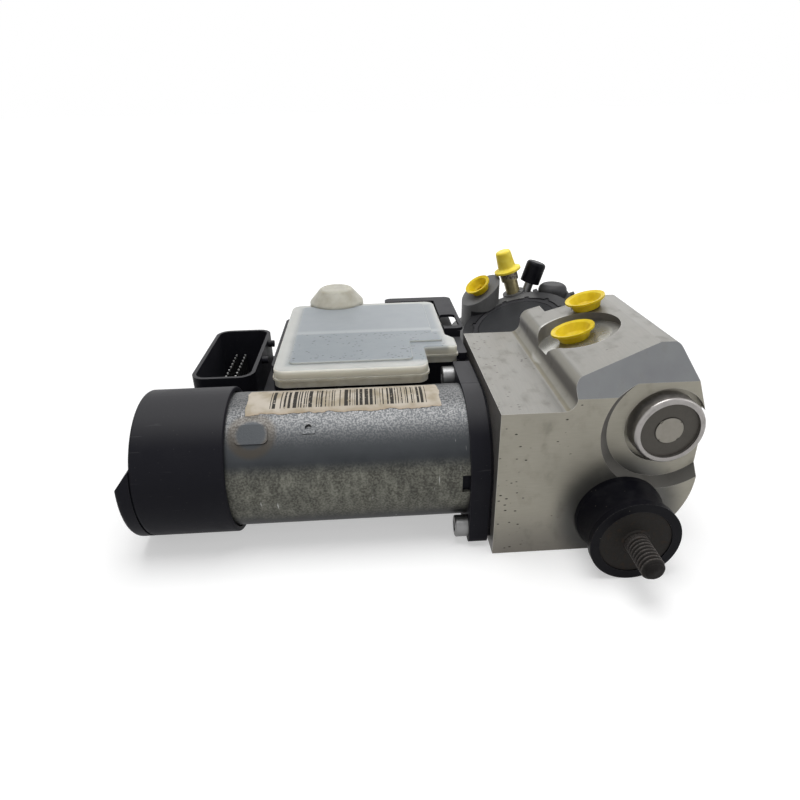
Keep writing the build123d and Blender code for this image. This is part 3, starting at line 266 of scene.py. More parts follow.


# %% [markdown]
# The motor can is deep-drawn steel under dull zinc. Drawing leaves faint lines along the axis, and road dirt
# has settled on its lower half as a brown mottled film. Light and shade are painted on as well: a sparkling
# highlight along the top where the overhead lamp falls, a lighter upper half, and dark shade on the lowest
# part. All of that depends on the height above the can's lowest line, so the height steers the colours.

# %% Zinc-plated motor can
def plated_can():
    """Zinc by height: a painted sparkling highlight on top and painted light above, bluish below, a brown
    mottled film, and painted shade underneath.
    """
    zinc = Finish("zinc_plated_can", (0.2, 0.21, 0.22), 0.45, 0.7, Specular_IOR_Level=0.2)
    height = (zinc.axes(zinc.place)[2] - can_low.z) / (2 * can_radius)
    cloud = zinc.grain(9 * mm, 5.0)
    drawn = zinc.grain(1.1 * mm, 3.0, zinc.stretched(x=0.06))
    sparkle = zinc.grain(0.8 * mm, 3.0).over(0.4, 0.62)
    mottle = zinc.grain(0.9 * mm, 8.0).over(0.36, 0.66)
    streak = zinc.grain(5 * mm, 5.0, zinc.stretched(x=1.6, z=0.5)).over(0.4, 0.7)
    scratch = zinc.grain(3 * mm, 1.0, zinc.stretched(x=2.2, y=0.4, z=0.25)).over(0.74, 0.79)
    scratch = scratch * zinc.grain(22 * mm, 1.0).over(0.56, 0.62)
    ring = zinc.node("VectorMath", {"operation": "DISTANCE"}, {0: zinc.place, 1: pad_place}, "Value")
    off_pad = ring.over(pad_radius, pad_radius + 1.5 * mm)
    # Painted highlight: a lighter, sparkling band along the top of the can, where the overhead lamp falls.
    bright = height.over(0.78, 0.97) * (0.15 + sparkle * 0.85) * off_pad
    band = height.under(0.6, 0.72) * height.over(0.14, 0.34) * (0.35 + cloud * 0.65)
    tone = cloud.over(0.3, 0.7) * 0.5 + drawn * 0.5
    plate = zinc.mixed((0.015, 0.017, 0.02), (0.032, 0.035, 0.039), tone)
    # Painted light: the upper half of the can is made lighter towards the top.
    plate = zinc.mixed(plate, (0.075, 0.08, 0.085), height.over(0.62, 0.85) * 0.6)
    plate = zinc.mixed(plate, (0.18, 0.18, 0.18), bright)
    film = zinc.mixed((0.09, 0.086, 0.07), (0.3, 0.3, 0.25), mottle * 0.6 + streak * 0.4)
    plate = zinc.mixed(plate, film, band * 0.9)
    # Painted shade: the lowest part of the can is made nearly black.
    plate = zinc.mixed(plate, (0.015, 0.015, 0.015), height.under(0.05, 0.3) * 0.95)
    stain = ring.over(pad_radius, pad_radius + 2 * mm)
    stain = stain * ring.under(pad_radius + 3.5 * mm, pad_radius + 6.5 * mm) * (0.35 + cloud * 0.6)
    plate = zinc.mixed(plate, (0.066, 0.051, 0.033), stain * 0.75)
    zinc.give("Base Color", zinc.mixed(plate, (0.6, 0.6, 0.59), scratch * 0.6))
    zinc.give("Roughness", 0.4 + cloud * 0.1 + band * 0.2)
    zinc.bump(drawn * 0.3 + sparkle * 0.35 + mottle * band, 0.06 * mm, 0.6)
    return zinc


# %% [markdown]
# The end cap, the controller and the flange are glass-filled nylon: nearly black, with the fine grain of
# the mould, a grey bloom of dust and paler worn edges. Faces that look up are made lighter, partly with dust
# and partly as a painted sheen from the overhead lamp. The white surroundings would lift such a black by
# their reflection, so its specular level is set well below the usual 0.5 to keep it deep. The rubber, the
# paper, the plastics and the dirty metals are treated alike. These levels are fitted to the tones of one
# photograph and aren't measured on the materials, so other light may show them a little flat.

# %% Moulded black nylon
def black_nylon(name, shade=0.008, dust=0.2):
    """Black with a fine mould grain, dust in clouds and specks, a few scuffs, and a lighter top that is
    partly dust and partly a painted sheen.
    """
    nylon = Finish(name, (shade,) * 3, 0.5, Specular_IOR_Level=0.05)
    grain = nylon.grain(0.45 * mm, 2.0)
    bloom = nylon.grain(14 * mm, 5.0).over(0.48, 0.8)
    speck = nylon.specks(2.6 * mm, 0.09)
    scuff = nylon.grain(3.5 * mm, 3.0, nylon.stretched(x=0.16, z=2.2)).over(0.68, 0.74)
    worn = nylon.edges(0.35 * mm)
    body = nylon.mixed((shade, shade, shade * 1.3), (0.035, 0.035, 0.038), bloom * dust)
    # Painted sheen: faces that look up are lightened, partly for settled dust and partly as the overhead
    # lamp's sheen; the dust amount sets both.
    above = nylon.axes(nylon.facing)[2].over(0.6, 1.0)
    body = nylon.mixed(body, (0.098, 0.097, 0.1), above * dust * 2.5 + worn * 0.3 + scuff * dust)
    nylon.give("Base Color", nylon.mixed(body, (0.15, 0.14, 0.125), speck * dust))
    nylon.give("Roughness", 0.38 + grain * 0.18 + bloom * 0.1)
    nylon.bump(grain - scuff * 0.5, 0.05 * mm, 0.45)
    return nylon


# %% [markdown]
# The valve block is sawn and milled from one bar and then anodised. Its front is brushed and a warm grey
# with small dark nicks, the port face is brighter and shows cutter marks, and the cut facet is smooth and
# bluish. Which is which follows from the direction that the surface faces, so the pattern reads the normal.

# %% Milled valve block
def milled_block():
    """Aluminium whose grain and tone depend on how a face is turned, with nicks, dirt and bright edges,
    painted shade low on the front, round the buffer and in the plug's recess, and a partly painted
    reflection on the spotface.
    """
    alloy = Finish("milled_block", (0.4, 0.38, 0.35), 0.36, 0.7)
    x, y, z = alloy.axes(alloy.facing)
    along, _, height = alloy.axes(alloy.place)
    # Which surface this is
    ahead = (y * -1).over(0.75, 0.97)
    above = z.over(0.6, 0.9)
    from_plug = alloy.around(plug_centre, 0, 2)
    slanted = (z - y).over(1.3, 1.39) * height.over(plug_centre.z, plug_centre.z + 4 * mm)
    cone = from_plug.under(29 * mm, 30 * mm) * (y * -1).over(0.5, 0.65) * (1 - ahead) * (1 - slanted)
    groove = z.over(0.15, 0.4) * z.under(0.8, 0.95) * (x * x).over(0.1, 0.3) * (1 - slanted) * (1 - cone)
    spot = alloy.around(middle("port_plug_1"), 0, 1).under(17 * mm, 18.5 * mm) * above
    # Grain, nicks, dirt, and painted shade round the rubber buffer
    brushed = alloy.grain(0.5 * mm, 3.0, alloy.stretched(x=0.07))
    milled = alloy.grain(0.6 * mm, 2.0, alloy.stretched(y=0.06, z=0.3))
    cloud = alloy.grain(12 * mm, 5.0)
    column = along.under(block_low.x + 11 * mm, block_low.x + 15 * mm)
    column = column * alloy.grain(6 * mm, 2.0).over(0.4, 0.5)
    clusters = alloy.grain(12 * mm, 1.0).over(0.68, 0.72)
    nick = alloy.specks(2.0 * mm, 0.2, alloy.stretched(x=0.5)) * (column + clusters)
    soil = alloy.grain(9 * mm, 5.0, alloy.stretched(x=1.4)).over(0.5, 0.85)
    smear = alloy.grain(1.4 * mm, 4.0, alloy.stretched(x=0.5, y=1.6)).over(0.5, 0.75) * above * clusters
    foot = z.over(0.8, 0.9) * z.under(0.97, 0.99) * (x * -1).over(0.12, 0.22) * (0.4 + cloud * 0.6)
    foot = foot * height.under(flange_high.z + 7 * mm, flange_high.z + 9 * mm)
    # Painted shade: a dark ring on the front face round the rubber buffer, for its shadow and dark
    # reflection.
    painted_buffer_shade = alloy.around(stud_base, 0, 2).under(21 * mm, 33 * mm) * ahead
    worn = alloy.edges(0.5 * mm)
    # Colours, each laid over the ones before
    front = alloy.mixed((0.23, 0.22, 0.18), (0.34, 0.32, 0.27), brushed * 0.45 + cloud * 0.55)
    port = alloy.mixed((0.15, 0.15, 0.14), (0.23, 0.22, 0.2), milled * 0.5 + cloud * 0.5)
    smooth = alloy.mixed((0.14, 0.14, 0.15), (0.17, 0.18, 0.18), cloud)
    colour = alloy.mixed((0.18, 0.17, 0.16), front, ahead)
    shaded = height.under(block_low.z, block_low.z + 26 * mm) * ahead * 0.65
    colour = alloy.mixed(colour, (0.12, 0.11, 0.1), shaded)
    colour = alloy.mixed(colour, port, above)
    colour = alloy.mixed(colour, smooth, slanted)
    colour = alloy.mixed(colour, (0.26, 0.25, 0.21), groove * 0.6)
    colour = alloy.mixed(colour, (0.13, 0.11, 0.054), foot * 0.75)
    colour = alloy.mixed(colour, (0.04, 0.042, 0.046), painted_buffer_shade * 0.75)
    # Painted shade: the recess wall round the plug is darkened, most of all on its lower part.
    lower_cone_shade = height.under(plug_centre.z - 14 * mm, plug_centre.z - 6 * mm)
    colour = alloy.mixed(colour, (0.07, 0.067, 0.06), cone * (0.35 + lower_cone_shade * 0.55))
    # Spotface round the port: bare turned metal, lightened further as a painted reflection of the overhead
    # lamp.
    colour = alloy.mixed(colour, (0.45, 0.45, 0.42), spot * 0.6)
    colour = alloy.mixed(colour, (0.08, 0.074, 0.058), soil * 0.35 + smear * 0.3)
    colour = alloy.mixed(colour, (0.035, 0.03, 0.025), nick * (1 - slanted))
    alloy.give("Base Color", alloy.mixed(colour, (0.54, 0.52, 0.49), worn * 0.55))
    alloy.give("Roughness", 0.36 + cloud * 0.1 + soil * 0.2 - slanted * 0.06 - spot * 0.15 + cone * 0.2)
    alloy.bump(brushed * ahead + milled * above * 0.8 - nick * 2, 0.05 * mm, 0.55)
    return alloy


# %% [markdown]
# Behind the block sits a sand casting. A casting's skin is dull, pebbled and slightly uneven in tone. Black
# paint covers it round the cover disc, and on the deck to the right of it.

# %% Grey casting
paint_radius = 33.8 * mm


def cast_skin(name, low, high, rim=0.0):
    """Pebbled grey metal, with black paint out to the rim's radius and on the deck to its right."""
    cast = Finish(name, low, 0.55, 0.5, Specular_IOR_Level=0.2)
    pebble = cast.grain(0.9 * mm, 3.0)
    tone = cast.grain(8 * mm, 4.0)
    worn = cast.edges(0.4 * mm)
    body = cast.mixed(low, high, tone * 0.6 + pebble * 0.4)
    bright = tuple(1.7 * share for share in high)
    body = cast.mixed(body, bright, worn * 0.35)
    disc = middle("cover_disc")
    reach = cast.node("VectorMath", {"operation": "DISTANCE"}, {0: cast.place, 1: disc}, "Value")
    along, _, height = cast.axes(cast.place)
    right = along.over(disc.x + 14 * mm, disc.x + 18 * mm) * reach.under(rim * 1.6, rim * 1.7)
    deck = height.over(disc.z - 9 * mm, disc.z - 5 * mm)
    low_part = height.under(disc.z + 1.5 * mm, disc.z + 2.5 * mm)
    painted = reach.under(rim, rim + 0.8 * mm) * deck * low_part + right * deck * 0.8
    cast.give("Base Color", cast.mixed(body, (0.012, 0.012, 0.014), painted * 0.95))
    cast.give("Roughness", 0.46 + pebble * 0.2)
    cast.bump(pebble, 0.12 * mm, 0.7)
    return cast


# %% [markdown]
# Steel comes in several states here: turned and bright at the plug, plated on the screws, and rusty on the
# stud. One recipe serves all of them, with rings about an axis where the part was turned on a lathe.

# %% Steels
ring_pitch = 0.25 * mm


def steel(name, low, high, roughness, centre=None):
    """Steel with a cloudy tone, and with fine rings about the centre where it was turned."""
    metal = Finish(name, low, roughness, 0.85)
    tone = metal.grain(2.5 * mm, 4.0)
    metal.give("Base Color", metal.mixed(low, high, tone))
    metal.give("Roughness", roughness - 0.08 + tone * 0.2)
    if centre is not None:
        turns = metal.around(centre, 0, 2) / ring_pitch
        rings = metal.node("Math", {"operation": "SINE"}, {0: turns * 2 * np.pi})
        metal.bump(rings, 0.004 * mm, 0.6)
    return metal


def pin_finish():
    """Tinned at the tips, and black below: the strip that holds the pins, and painted shade over the
    tinned shafts deep in the socket.
    """
    tin = Finish("tinned_pins", (0.7, 0.7, 0.68), 0.3, 0.6)
    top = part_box("connector_pins")[1].z
    # Painted shade: below their last millimetre the tinned pins are coloured black, as if deep in the
    # socket's shade.
    tip = tin.axes(tin.place)[2].over(top - 1.2 * mm, top - 0.7 * mm)
    tin.give("Base Color", tin.mixed((0.012, 0.012, 0.013), (0.82, 0.82, 0.8), tip))
    tin.give("Roughness", 0.6 - tip * 0.3)
    tin.bump(tin.grain(0.4 * mm), 0.02 * mm, 0.3)
    return tin


def disc_finish():
    """Dark phosphated disc whose pressed-in centre pin is bare and pale; the radius tells them apart."""
    disc = Finish("dark_plug_cover", (0.1, 0.094, 0.084), 0.45, 0.7)
    radius = disc.around(plug_centre, 0, 2)
    tone = disc.grain(2.5 * mm, 4.0)
    fine = disc.grain(0.5 * mm, 3.0)
    dark = disc.mixed((0.046, 0.042, 0.036), (0.085, 0.078, 0.068), tone * 0.6 + fine * 0.4)
    pale = disc.mixed((0.2, 0.19, 0.16), (0.28, 0.26, 0.23), tone)
    pin = radius.under(5.9 * mm, 6.1 * mm)
    crack = radius.over(5.7 * mm, 6.0 * mm) * radius.under(6.1 * mm, 6.5 * mm)
    disc.give("Base Color", disc.mixed(disc.mixed(dark, pale, pin), (0.02, 0.018, 0.015), crack * 0.8))
    disc.give("Roughness", 0.38 + tone * 0.16)
    disc.bump(fine, 0.03 * mm, 0.4)
    return disc


def rusty_steel():
    """Dark zinc, brown where a rough noise is high, lighter on the crests of the stud's thread, rubbed bare
    and partly a painted highlight, and painted shade in the thread's roots.
    """
    metal = Finish("rusty_steel", (0.1, 0.09, 0.08), 0.6, 0.5, Specular_IOR_Level=0.15)
    patch = metal.grain(2.2 * mm, 7.0)
    fine = metal.grain(0.4 * mm, 3.0)
    from_stud = metal.around(stud_base, 0, 2)
    # Crests are lightened, partly rubbed bare and partly a painted highlight; the roots get painted shade.
    crest = from_stud.over(4.6 * mm, 4.95 * mm) * from_stud.under(5.1 * mm, 5.3 * mm)
    painted_root_shade = from_stud.under(4.3 * mm, 4.6 * mm)
    body = metal.mixed((0.011, 0.01, 0.0095), (0.035, 0.032, 0.029), fine)
    body = metal.mixed(body, (0.06, 0.037, 0.022), patch.over(0.52, 0.72) * 0.3)
    body = metal.mixed(body, (0.008, 0.007, 0.007), painted_root_shade * 0.7)
    metal.give("Base Color", metal.mixed(body, (0.094, 0.085, 0.08), crest * fine.over(0.3, 0.6) * 0.8))
    metal.give("Roughness", 0.5 + patch * 0.3 - crest * 0.12)
    metal.bump(fine + patch, 0.08 * mm, 0.6)
    return metal


# %% [markdown]
# Rubber is black with a dry grey film. The film lies thickest on the outer skin, in long soft patches.

# %% Rubber
def black_rubber():
    """Black with a dry bloom, brown dust on its front, a few pale specks and a finely pitted skin."""
    rubber = Finish("black_rubber", (0.01, 0.01, 0.012), 0.5, Specular_IOR_Level=0.08)
    film = rubber.grain(6 * mm, 6.0).over(0.45, 0.78)
    pit = rubber.grain(0.5 * mm, 2.0)
    speck = rubber.specks(3.2 * mm, 0.09)
    worn = rubber.edges(0.5 * mm)
    body = rubber.mixed((0.003, 0.003, 0.005), (0.014, 0.014, 0.015), film * 0.5)
    body = rubber.mixed(body, (0.09, 0.088, 0.085), worn * pit.over(0.35, 0.6) * 0.5)
    rubber.give("Base Color", rubber.mixed(body, (0.16, 0.145, 0.12), speck * 0.35))
    rubber.give("Roughness", 0.36 + film * 0.25)
    rubber.bump(pit, 0.06 * mm, 0.4)
    return rubber


# %% [markdown]
# The transport plugs are soft yellow polyethylene and the reservoir is milky polypropylene. Light enters
# both and comes out a little further on, which is what makes them look waxy, so they get some subsurface
# light. A colour pattern alone would look like paint.

# %% Soft plastics
lid_low, lid_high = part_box("reservoir_lid")


def reservoir_lid():
    """Milky lid: pale near its outline, bluish and darker over the hollow as painted shade of the dark
    inside, with painted highlights along its edges, and yellowed low on its sides.
    """
    inside = {"Subsurface_Weight": 0.45, "Subsurface_Scale": 5 * mm, "Subsurface_Radius": (0.9, 1.0, 1.0)}
    lid = Finish("milky_lid", (0.4, 0.42, 0.43), 0.34, Specular_IOR_Level=0.2, **inside)
    x, y, z = lid.axes(lid.place)
    along = lid.node("Math", {"operation": "MINIMUM"}, {0: x - lid_low.x, 1: lid_high.x - x})
    depth = lid.node("Math", {"operation": "MINIMUM"}, {0: y - lid_low.y, 1: lid_high.y - y})
    inward = lid.node("Math", {"operation": "MINIMUM"}, {0: along, 1: depth})
    level = lid.axes(lid.facing)[2].over(0.5, 0.9)
    hollow = inward.over(3.5 * mm, 9 * mm) * level
    rim = inward.under(3 * mm, 6 * mm)
    near = y.under(lid_low.y + 44 * mm, lid_low.y + 50 * mm)
    ledge = y.over(lid_low.y + 45 * mm, lid_low.y + 47 * mm)
    ledge = ledge * y.under(lid_low.y + 48 * mm, lid_low.y + 52 * mm)
    cloud = lid.grain(11 * mm, 4.0)
    haze = lid.grain(3 * mm, 5.0, lid.stretched(x=0.6))
    edge = lid.edges(1.2 * mm)
    border = lid.mixed((0.41, 0.42, 0.4), (0.52, 0.52, 0.5), cloud)
    # Painted shade: over the hollow the lid is darker and bluish, for the dark inside showing through the
    # milky wall.
    hollow_shade_blue = lid.mixed((0.18, 0.21, 0.23), (0.31, 0.33, 0.35), haze * 0.4 + cloud * 0.3 + (1 - near) * 0.3)
    colour = lid.mixed(border, hollow_shade_blue, hollow * 0.95)
    colour = lid.mixed(colour, (0.86, 0.84, 0.74), (1 - level) * rim)
    colour = lid.mixed(colour, (0.45, 0.47, 0.48), ledge * hollow * 0.45)
    colour = lid.mixed(colour, (0.5, 0.47, 0.37), z.under(lid_low.z + 1 * mm, lid_low.z + 4 * mm) * 0.7)
    # Painted highlight: lighter lines along the lid's edges.
    colour = lid.mixed(colour, (0.58, 0.59, 0.57), edge * (0.1 + rim * 0.3))
    dirt = lid.specks(1.6 * mm, 0.3, lid.stretched(x=0.6))
    dirt = dirt * lid.grain(6 * mm, 4.0).over(0.46, 0.56) * near * hollow
    lid.give("Base Color", lid.mixed(colour, (0.07, 0.08, 0.09), dirt * 0.75))
    lid.give("Roughness", 0.3 + haze * 0.16)
    lid.bump(haze, 0.05 * mm, 0.3)
    return lid


def soft_plastic(name, low, high, roughness, depth, share):
    """Waxy plastic: light that travels this deep, a cloudy colour and a soft skin."""
    inside = {"Subsurface_Weight": share, "Subsurface_Scale": depth, "Subsurface_Radius": (1.0, 0.9, 0.7)}
    plastic = Finish(name, low, roughness, Specular_IOR_Level=0.2, **inside)
    cloud = plastic.grain(5 * mm, 3.0)
    skin = plastic.grain(0.6 * mm, 2.0)
    plastic.give("Base Color", plastic.mixed(low, high, cloud.over(0.3, 0.7)))
    plastic.give("Roughness", roughness - 0.06 + cloud * 0.15)
    plastic.bump(skin, 0.03 * mm, 0.3)
    return plastic


# %% [markdown]
# The label is aged paper, wrapped round the can, with a bar pattern of its own and a ragged lower edge. Its
# pattern follows the can, so it is worked out from the distance along the axis and the angle about it. One
# dimension of cells with a random value each gives bars of random widths. Angles are in degrees from the
# horizontal behind the motor, so 90 is the top of the can.

# %% Printed paper label
label_low, label_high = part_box("label")
bar_cell = 0.5 * mm
bar_group = 2.3 * mm
bars_from, bars_to = 80.0, 107.0
bar_fade = 0.6
ragged_edge = 112.6


def printed_label():
    """Paper with bars: cells along the axis are inked where their random value is high."""
    paper = Finish("printed_label", (0.75, 0.68, 0.56), 0.7, Specular_IOR_Level=0.15)
    x, y, z = paper.axes(paper.place)
    angle = paper.node("Math", {"operation": "ARCTAN2"}, {0: z - motor.z, 1: y - motor.y}) * (180 / np.pi)
    ragged = paper.grain(6 * mm, 4.0) * 8 - 4
    cell = {"voronoi_dimensions": "1D"}
    colour = paper.node("TexVoronoi", cell, {"W": x, "Scale": 1 / bar_cell}, "Color")
    chance = paper.axes(colour)[0]
    comb = paper.node("Math", {"operation": "SINE"}, {0: x * (2 * np.pi / bar_group)})
    left = (x - label_low.x).over(11.5 * mm, 11.8 * mm)
    right = (label_high.x - x).over(10.6 * mm, 10.9 * mm)
    band = angle.over(bars_from, bars_from + bar_fade) * angle.under(bars_to, bars_to + bar_fade)
    worn = paper.grain(1.6 * mm, 5.0).over(0.26, 0.42)
    ink = chance.over(0.38, 0.4) * comb.over(-0.75, -0.6) * left * right * band * worn
    old = paper.grain(9 * mm, 6.0)
    body = paper.mixed((0.35, 0.3, 0.22), (0.52, 0.47, 0.4), old.over(0.3, 0.62))
    rim = angle + ragged
    body = paper.mixed(body, (0.36, 0.27, 0.18), rim.over(108.0, 115.0) * 0.8)
    paper.give("Base Color", paper.mixed(body, (0.018, 0.017, 0.016), ink * 0.96))
    paper.give("Roughness", 0.55 + old * 0.25)
    ends = (x - label_low.x + ragged * 0.3 * mm).over(1.9 * mm, 2.0 * mm)
    ends = ends * (label_high.x - x + ragged * 0.3 * mm).over(4.6 * mm, 4.7 * mm)
    paper.give("Alpha", rim.under(ragged_edge, ragged_edge + 0.4) * ends)
    crease = paper.grain(4 * mm, 5.0, paper.stretched(x=0.8, y=2.0))
    paper.bump(old + crease * rim.over(104.0, 112.0) * 4, 0.1 * mm, 0.6)
    return paper


# %% [markdown]
# What is inside shows only through the connector's socket or when the module is opened, but each piece
# still gets the finish of its real counterpart: enamelled copper, sintered magnets, a lacquered board.

# %% Finishes of the inner pieces
def plain_grain(name, low, high, size, roughness, metallic=0.0):
    """Two tones of one material, cloudy at the given size, with a matching slight bump."""
    made = Finish(name, low, roughness, metallic)
    cloud = made.grain(size, 4.0)
    made.give("Base Color", made.mixed(low, high, cloud))
    made.give("Roughness", roughness - 0.05 + cloud * 0.1)
    made.bump(cloud, 0.03 * mm, 0.4)
    return made


# %% [markdown]
# The hose stem is steel under a yellow chromate, which has stayed fresh on its lower half and has gone dull
# and speckled above.

# %% Chromated hose stem
def hose_stem():
    """Yellow chromate on the lower half of the stem, and a duller, speckled upper half."""
    stem = Finish("hose_stem", (0.5, 0.42, 0.22), 0.35, 0.6)
    low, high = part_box("hose_stem")
    upper = stem.axes(stem.place)[2].over(low.z + 0.5 * (high.z - low.z), low.z + 0.56 * (high.z - low.z))
    tone = stem.grain(1.2 * mm, 4.0)
    fresh = stem.mixed((0.32, 0.26, 0.11), (0.46, 0.41, 0.24), tone)
    dull = stem.mixed((0.084, 0.07, 0.056), (0.28, 0.25, 0.21), tone.over(0.35, 0.62))
    stem.give("Base Color", stem.mixed(fresh, dull, upper))
    stem.give("Roughness", 0.3 + tone * 0.15 + upper * 0.12)
    stem.bump(tone, 0.05 * mm, 0.4)
    return stem


# %% [markdown]
# Each part is now given its finish by name. A part keeps the mesh and the place that the frame gave it;
# only what its material slots hold is exchanged.

# %% Hand the finishes out
finishes = {
    "zinc": plated_can(),
    "cap": black_nylon("end_cap_nylon", 0.012, 0.16),
    "nylon": black_nylon("controller_nylon", 0.013, 0.2),
    "coated": black_nylon("coated_bracket", 0.012, 0.12),
    "block": milled_block(),
    "cast": cast_skin("grey_casting", (0.1, 0.1, 0.1), (0.18, 0.18, 0.18), paint_radius),
    "disc": cast_skin("cover_disc_skin", (0.018, 0.019, 0.021), (0.034, 0.035, 0.038)),
    "plug": steel("turned_plug", (0.21, 0.2, 0.19), (0.38, 0.36, 0.35), 0.3, plug_centre),
    "cover": disc_finish(),
    "screw": steel("plated_screw", (0.17, 0.17, 0.17), (0.27, 0.27, 0.27), 0.38),
    "spring": steel("spring_steel", (0.4, 0.4, 0.41), (0.6, 0.6, 0.61), 0.3),
    "core": steel("core_steel", (0.3, 0.31, 0.33), (0.45, 0.46, 0.48), 0.4),
    "rust": rusty_steel(),
    "pins": pin_finish(),
    "rubber": black_rubber(),
    "pale": soft_plastic("hose_cap_plastic", (0.8, 0.62, 0.05), (0.9, 0.74, 0.1), 0.4, 1.5 * mm, 0.2),
    "yellow": soft_plastic("yellow_plug", (0.62, 0.44, 0.006), (0.74, 0.56, 0.018), 0.4, 1.5 * mm, 0.2),
    "milky": soft_plastic("milky_tray", (0.39, 0.37, 0.31), (0.46, 0.45, 0.39), 0.34, 5 * mm, 0.45),
    "lid": reservoir_lid(),
    "paper": printed_label(),
    "brass": hose_stem(),
    "copper": plain_grain("enamelled_copper", (0.45, 0.18, 0.08), (0.62, 0.3, 0.14), 1 * mm, 0.35, 0.8),
    "magnet": plain_grain("sintered_magnet", (0.06, 0.06, 0.065), (0.12, 0.12, 0.125), 2 * mm, 0.5, 0.2),
    "board": plain_grain("lacquered_board", (0.01, 0.1, 0.045), (0.02, 0.17, 0.07), 6 * mm, 0.3),
    "carbon": plain_grain("carbon_brush", (0.03, 0.03, 0.03), (0.07, 0.07, 0.07), 1 * mm, 0.45),
}
worn_by = {
    "motor_can": "zinc", "end_cap": "cap", "label": "paper", "valve_block": "block",
    "flange": "nylon", "controller_case": "nylon", "controller_lid": "nylon", "brush_holder": "nylon",
    "bracket": "coated", "rear_housing": "cast", "cover_disc": "disc", "cover_band": "cap",
    "accumulator_plug": "plug", "plug_cover": "cover", "plunger_plug_1": "plug", "plunger_plug_2": "plug",
    "accumulator_piston": "spring", "accumulator_spring": "spring", "eccentric_ring": "spring",
    "rear_bearing": "spring", "front_bearing": "spring", "rotor_core": "core", "rotor_shaft": "core",
    "flange_screw_1": "screw", "flange_screw_2": "screw", "bleed_nipple": "screw", "connector_pins": "pins",
    "buffer_base": "rust", "stud": "rust", "rubber_buffer": "rubber", "nipple_boot": "rubber",
    "flange_seal": "rubber", "controller_seal": "rubber", "hose_cap": "pale", "hose_stem": "brass",
    "reservoir_tray": "milky", "reservoir_lid": "lid", "circuit_board": "board",
    "winding": "copper", "commutator": "copper", "coil_block": "copper",
}
families = {
    "port_plug": "yellow", "valve": "spring", "armature": "core", "plunger": "spring",
    "plunger_spring": "spring", "magnet": "magnet", "brush": "carbon",
}
for name, part in nodes.items():
    finish = worn_by.get(name) or families[name.rsplit("_", 1)[0]]
    part.data.materials.clear()
    part.data.materials.append(finishes[finish].material)
print("finishes", len(finishes), "parts dressed", len(nodes))

# %% [markdown]
# New pieces are grids: two parameters, one array of points for each, and faces that join neighbours. The
# most useful one is a profile turned about an axis. It makes seals, beads and plates, and a thread too, if
# the profile's radius may change with the angle.

# %% A grid of points becomes a mesh
def skin_of(name, points, finish, node, smooth=True, crossing=None):
    """Mesh of a grid of points, closed in its second direction and capped.

    It rides on its node's body, or, where a crossing is given, is baked in place and left on no body.
    """
    rows, columns = points.shape[:2]
    index = np.arange(rows * columns).reshape(rows, columns)
    beside = np.roll(index, -1, axis=1)
    quads = np.stack([index[:-1], beside[:-1], beside[1:], index[1:]], axis=-1).reshape(-1, 4)
    mesh = bpy.data.meshes.new(name)
    caps = [index[0][::-1].tolist(), index[-1].tolist()]
    mesh.from_pydata(points.reshape(-1, 3).tolist(), [], quads.tolist() + caps)
    mesh.polygons.foreach_set("use_smooth", [smooth] * len(mesh.polygons))
    mesh.materials.append(finishes[finish].material)
    mesh.update()
    piece = bpy.data.objects.new(name, mesh)
    bpy.context.scene.collection.objects.link(piece)
    record = frame["record"]
    if crossing:
        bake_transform(piece)
    else:
        bodies = record["behaviour"]["bodies"]
        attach(piece, next(b for b, members in bodies.items() if node in members))
    return piece


def about_axis(base, axis, along, radius, angle):
    """Points at a distance along the axis and a radius from it, at each angle."""
    axis = np.array(Vector(axis).normalized())
    first = np.array(Vector(axis).orthogonal().normalized())
    second = np.cross(axis, first)
    ring = np.cos(angle)[..., None] * first + np.sin(angle)[..., None] * second
    return np.array(base) + along[..., None] * axis + radius[..., None] * ring


# %% [markdown]
# The stud carries a coarse metric thread. Its radius at a height and an angle is a triangle wave of the
# height, shifted by one pitch for each turn. The shifting is all that makes it a helix.

# %% Threaded stud with its plate
thread_pitch = 1.9 * mm
thread_depth = 0.75 * mm
thread_columns = 48
stud_radius = 5.0 * mm
stud_end = stud_low.y
print("stud reaches", round(stud_end / mm, 1), "mm")


def threaded_rod(base, axis, start, end, radius, pitch, depth):
    """Radius less the depth times a rounded wave of (height / pitch - turn), run out at the tip."""
    height = np.linspace(start, end, 15 * int((end - start) / pitch))
    turn = np.linspace(0, 1, thread_columns, endpoint=False)
    height, turn = np.meshgrid(height, turn, indexing="ij")
    phase = (height / pitch - turn) % 1
    wave = np.clip(2.6 * np.abs(phase - 0.5) - 0.15, 0, 1)
    run_in = np.clip((height - start - 1.5 * mm) / (1.5 * mm), 0, 1)
    tip = np.clip((height - end + 1.3 * mm) / mm, 0, 1) * 1.2 * mm
    surface = np.minimum(radius - depth * wave * run_in, radius - tip)
    return about_axis(base, axis, height, surface, 2 * np.pi * turn)


rod = skin_of(
    "stud_thread",
    threaded_rod(stud_base, (0, -1, 0), 0.0, -stud_end, stud_radius, thread_pitch, thread_depth),
    "rust", "stud")
plate_radius = (stud_high.x - stud_low.x) / 2
profile = np.array([(-1.9, 0), (-1.9, 1), (-0.6, 1), (-0.4, 0.985), (-0.4, 0.6), (-0.3, 0.4), (0.3, 0.36)])
steps = np.linspace(0, 2 * np.pi, 72, endpoint=False)
along, turn = np.meshgrid(profile[:, 0] * mm, steps, indexing="ij")
share = np.repeat(profile[:, 1:], len(steps), axis=1)
radius = np.maximum(share * plate_radius, 0.01 * mm)
skin_of(
    "stud_plate", about_axis(stud_base, (0, -1, 0), along, radius, turn),
    "rust", "stud", smooth=False)
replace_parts(rod, "stud")
print("thread rows", len(rod.data.vertices) // thread_columns)

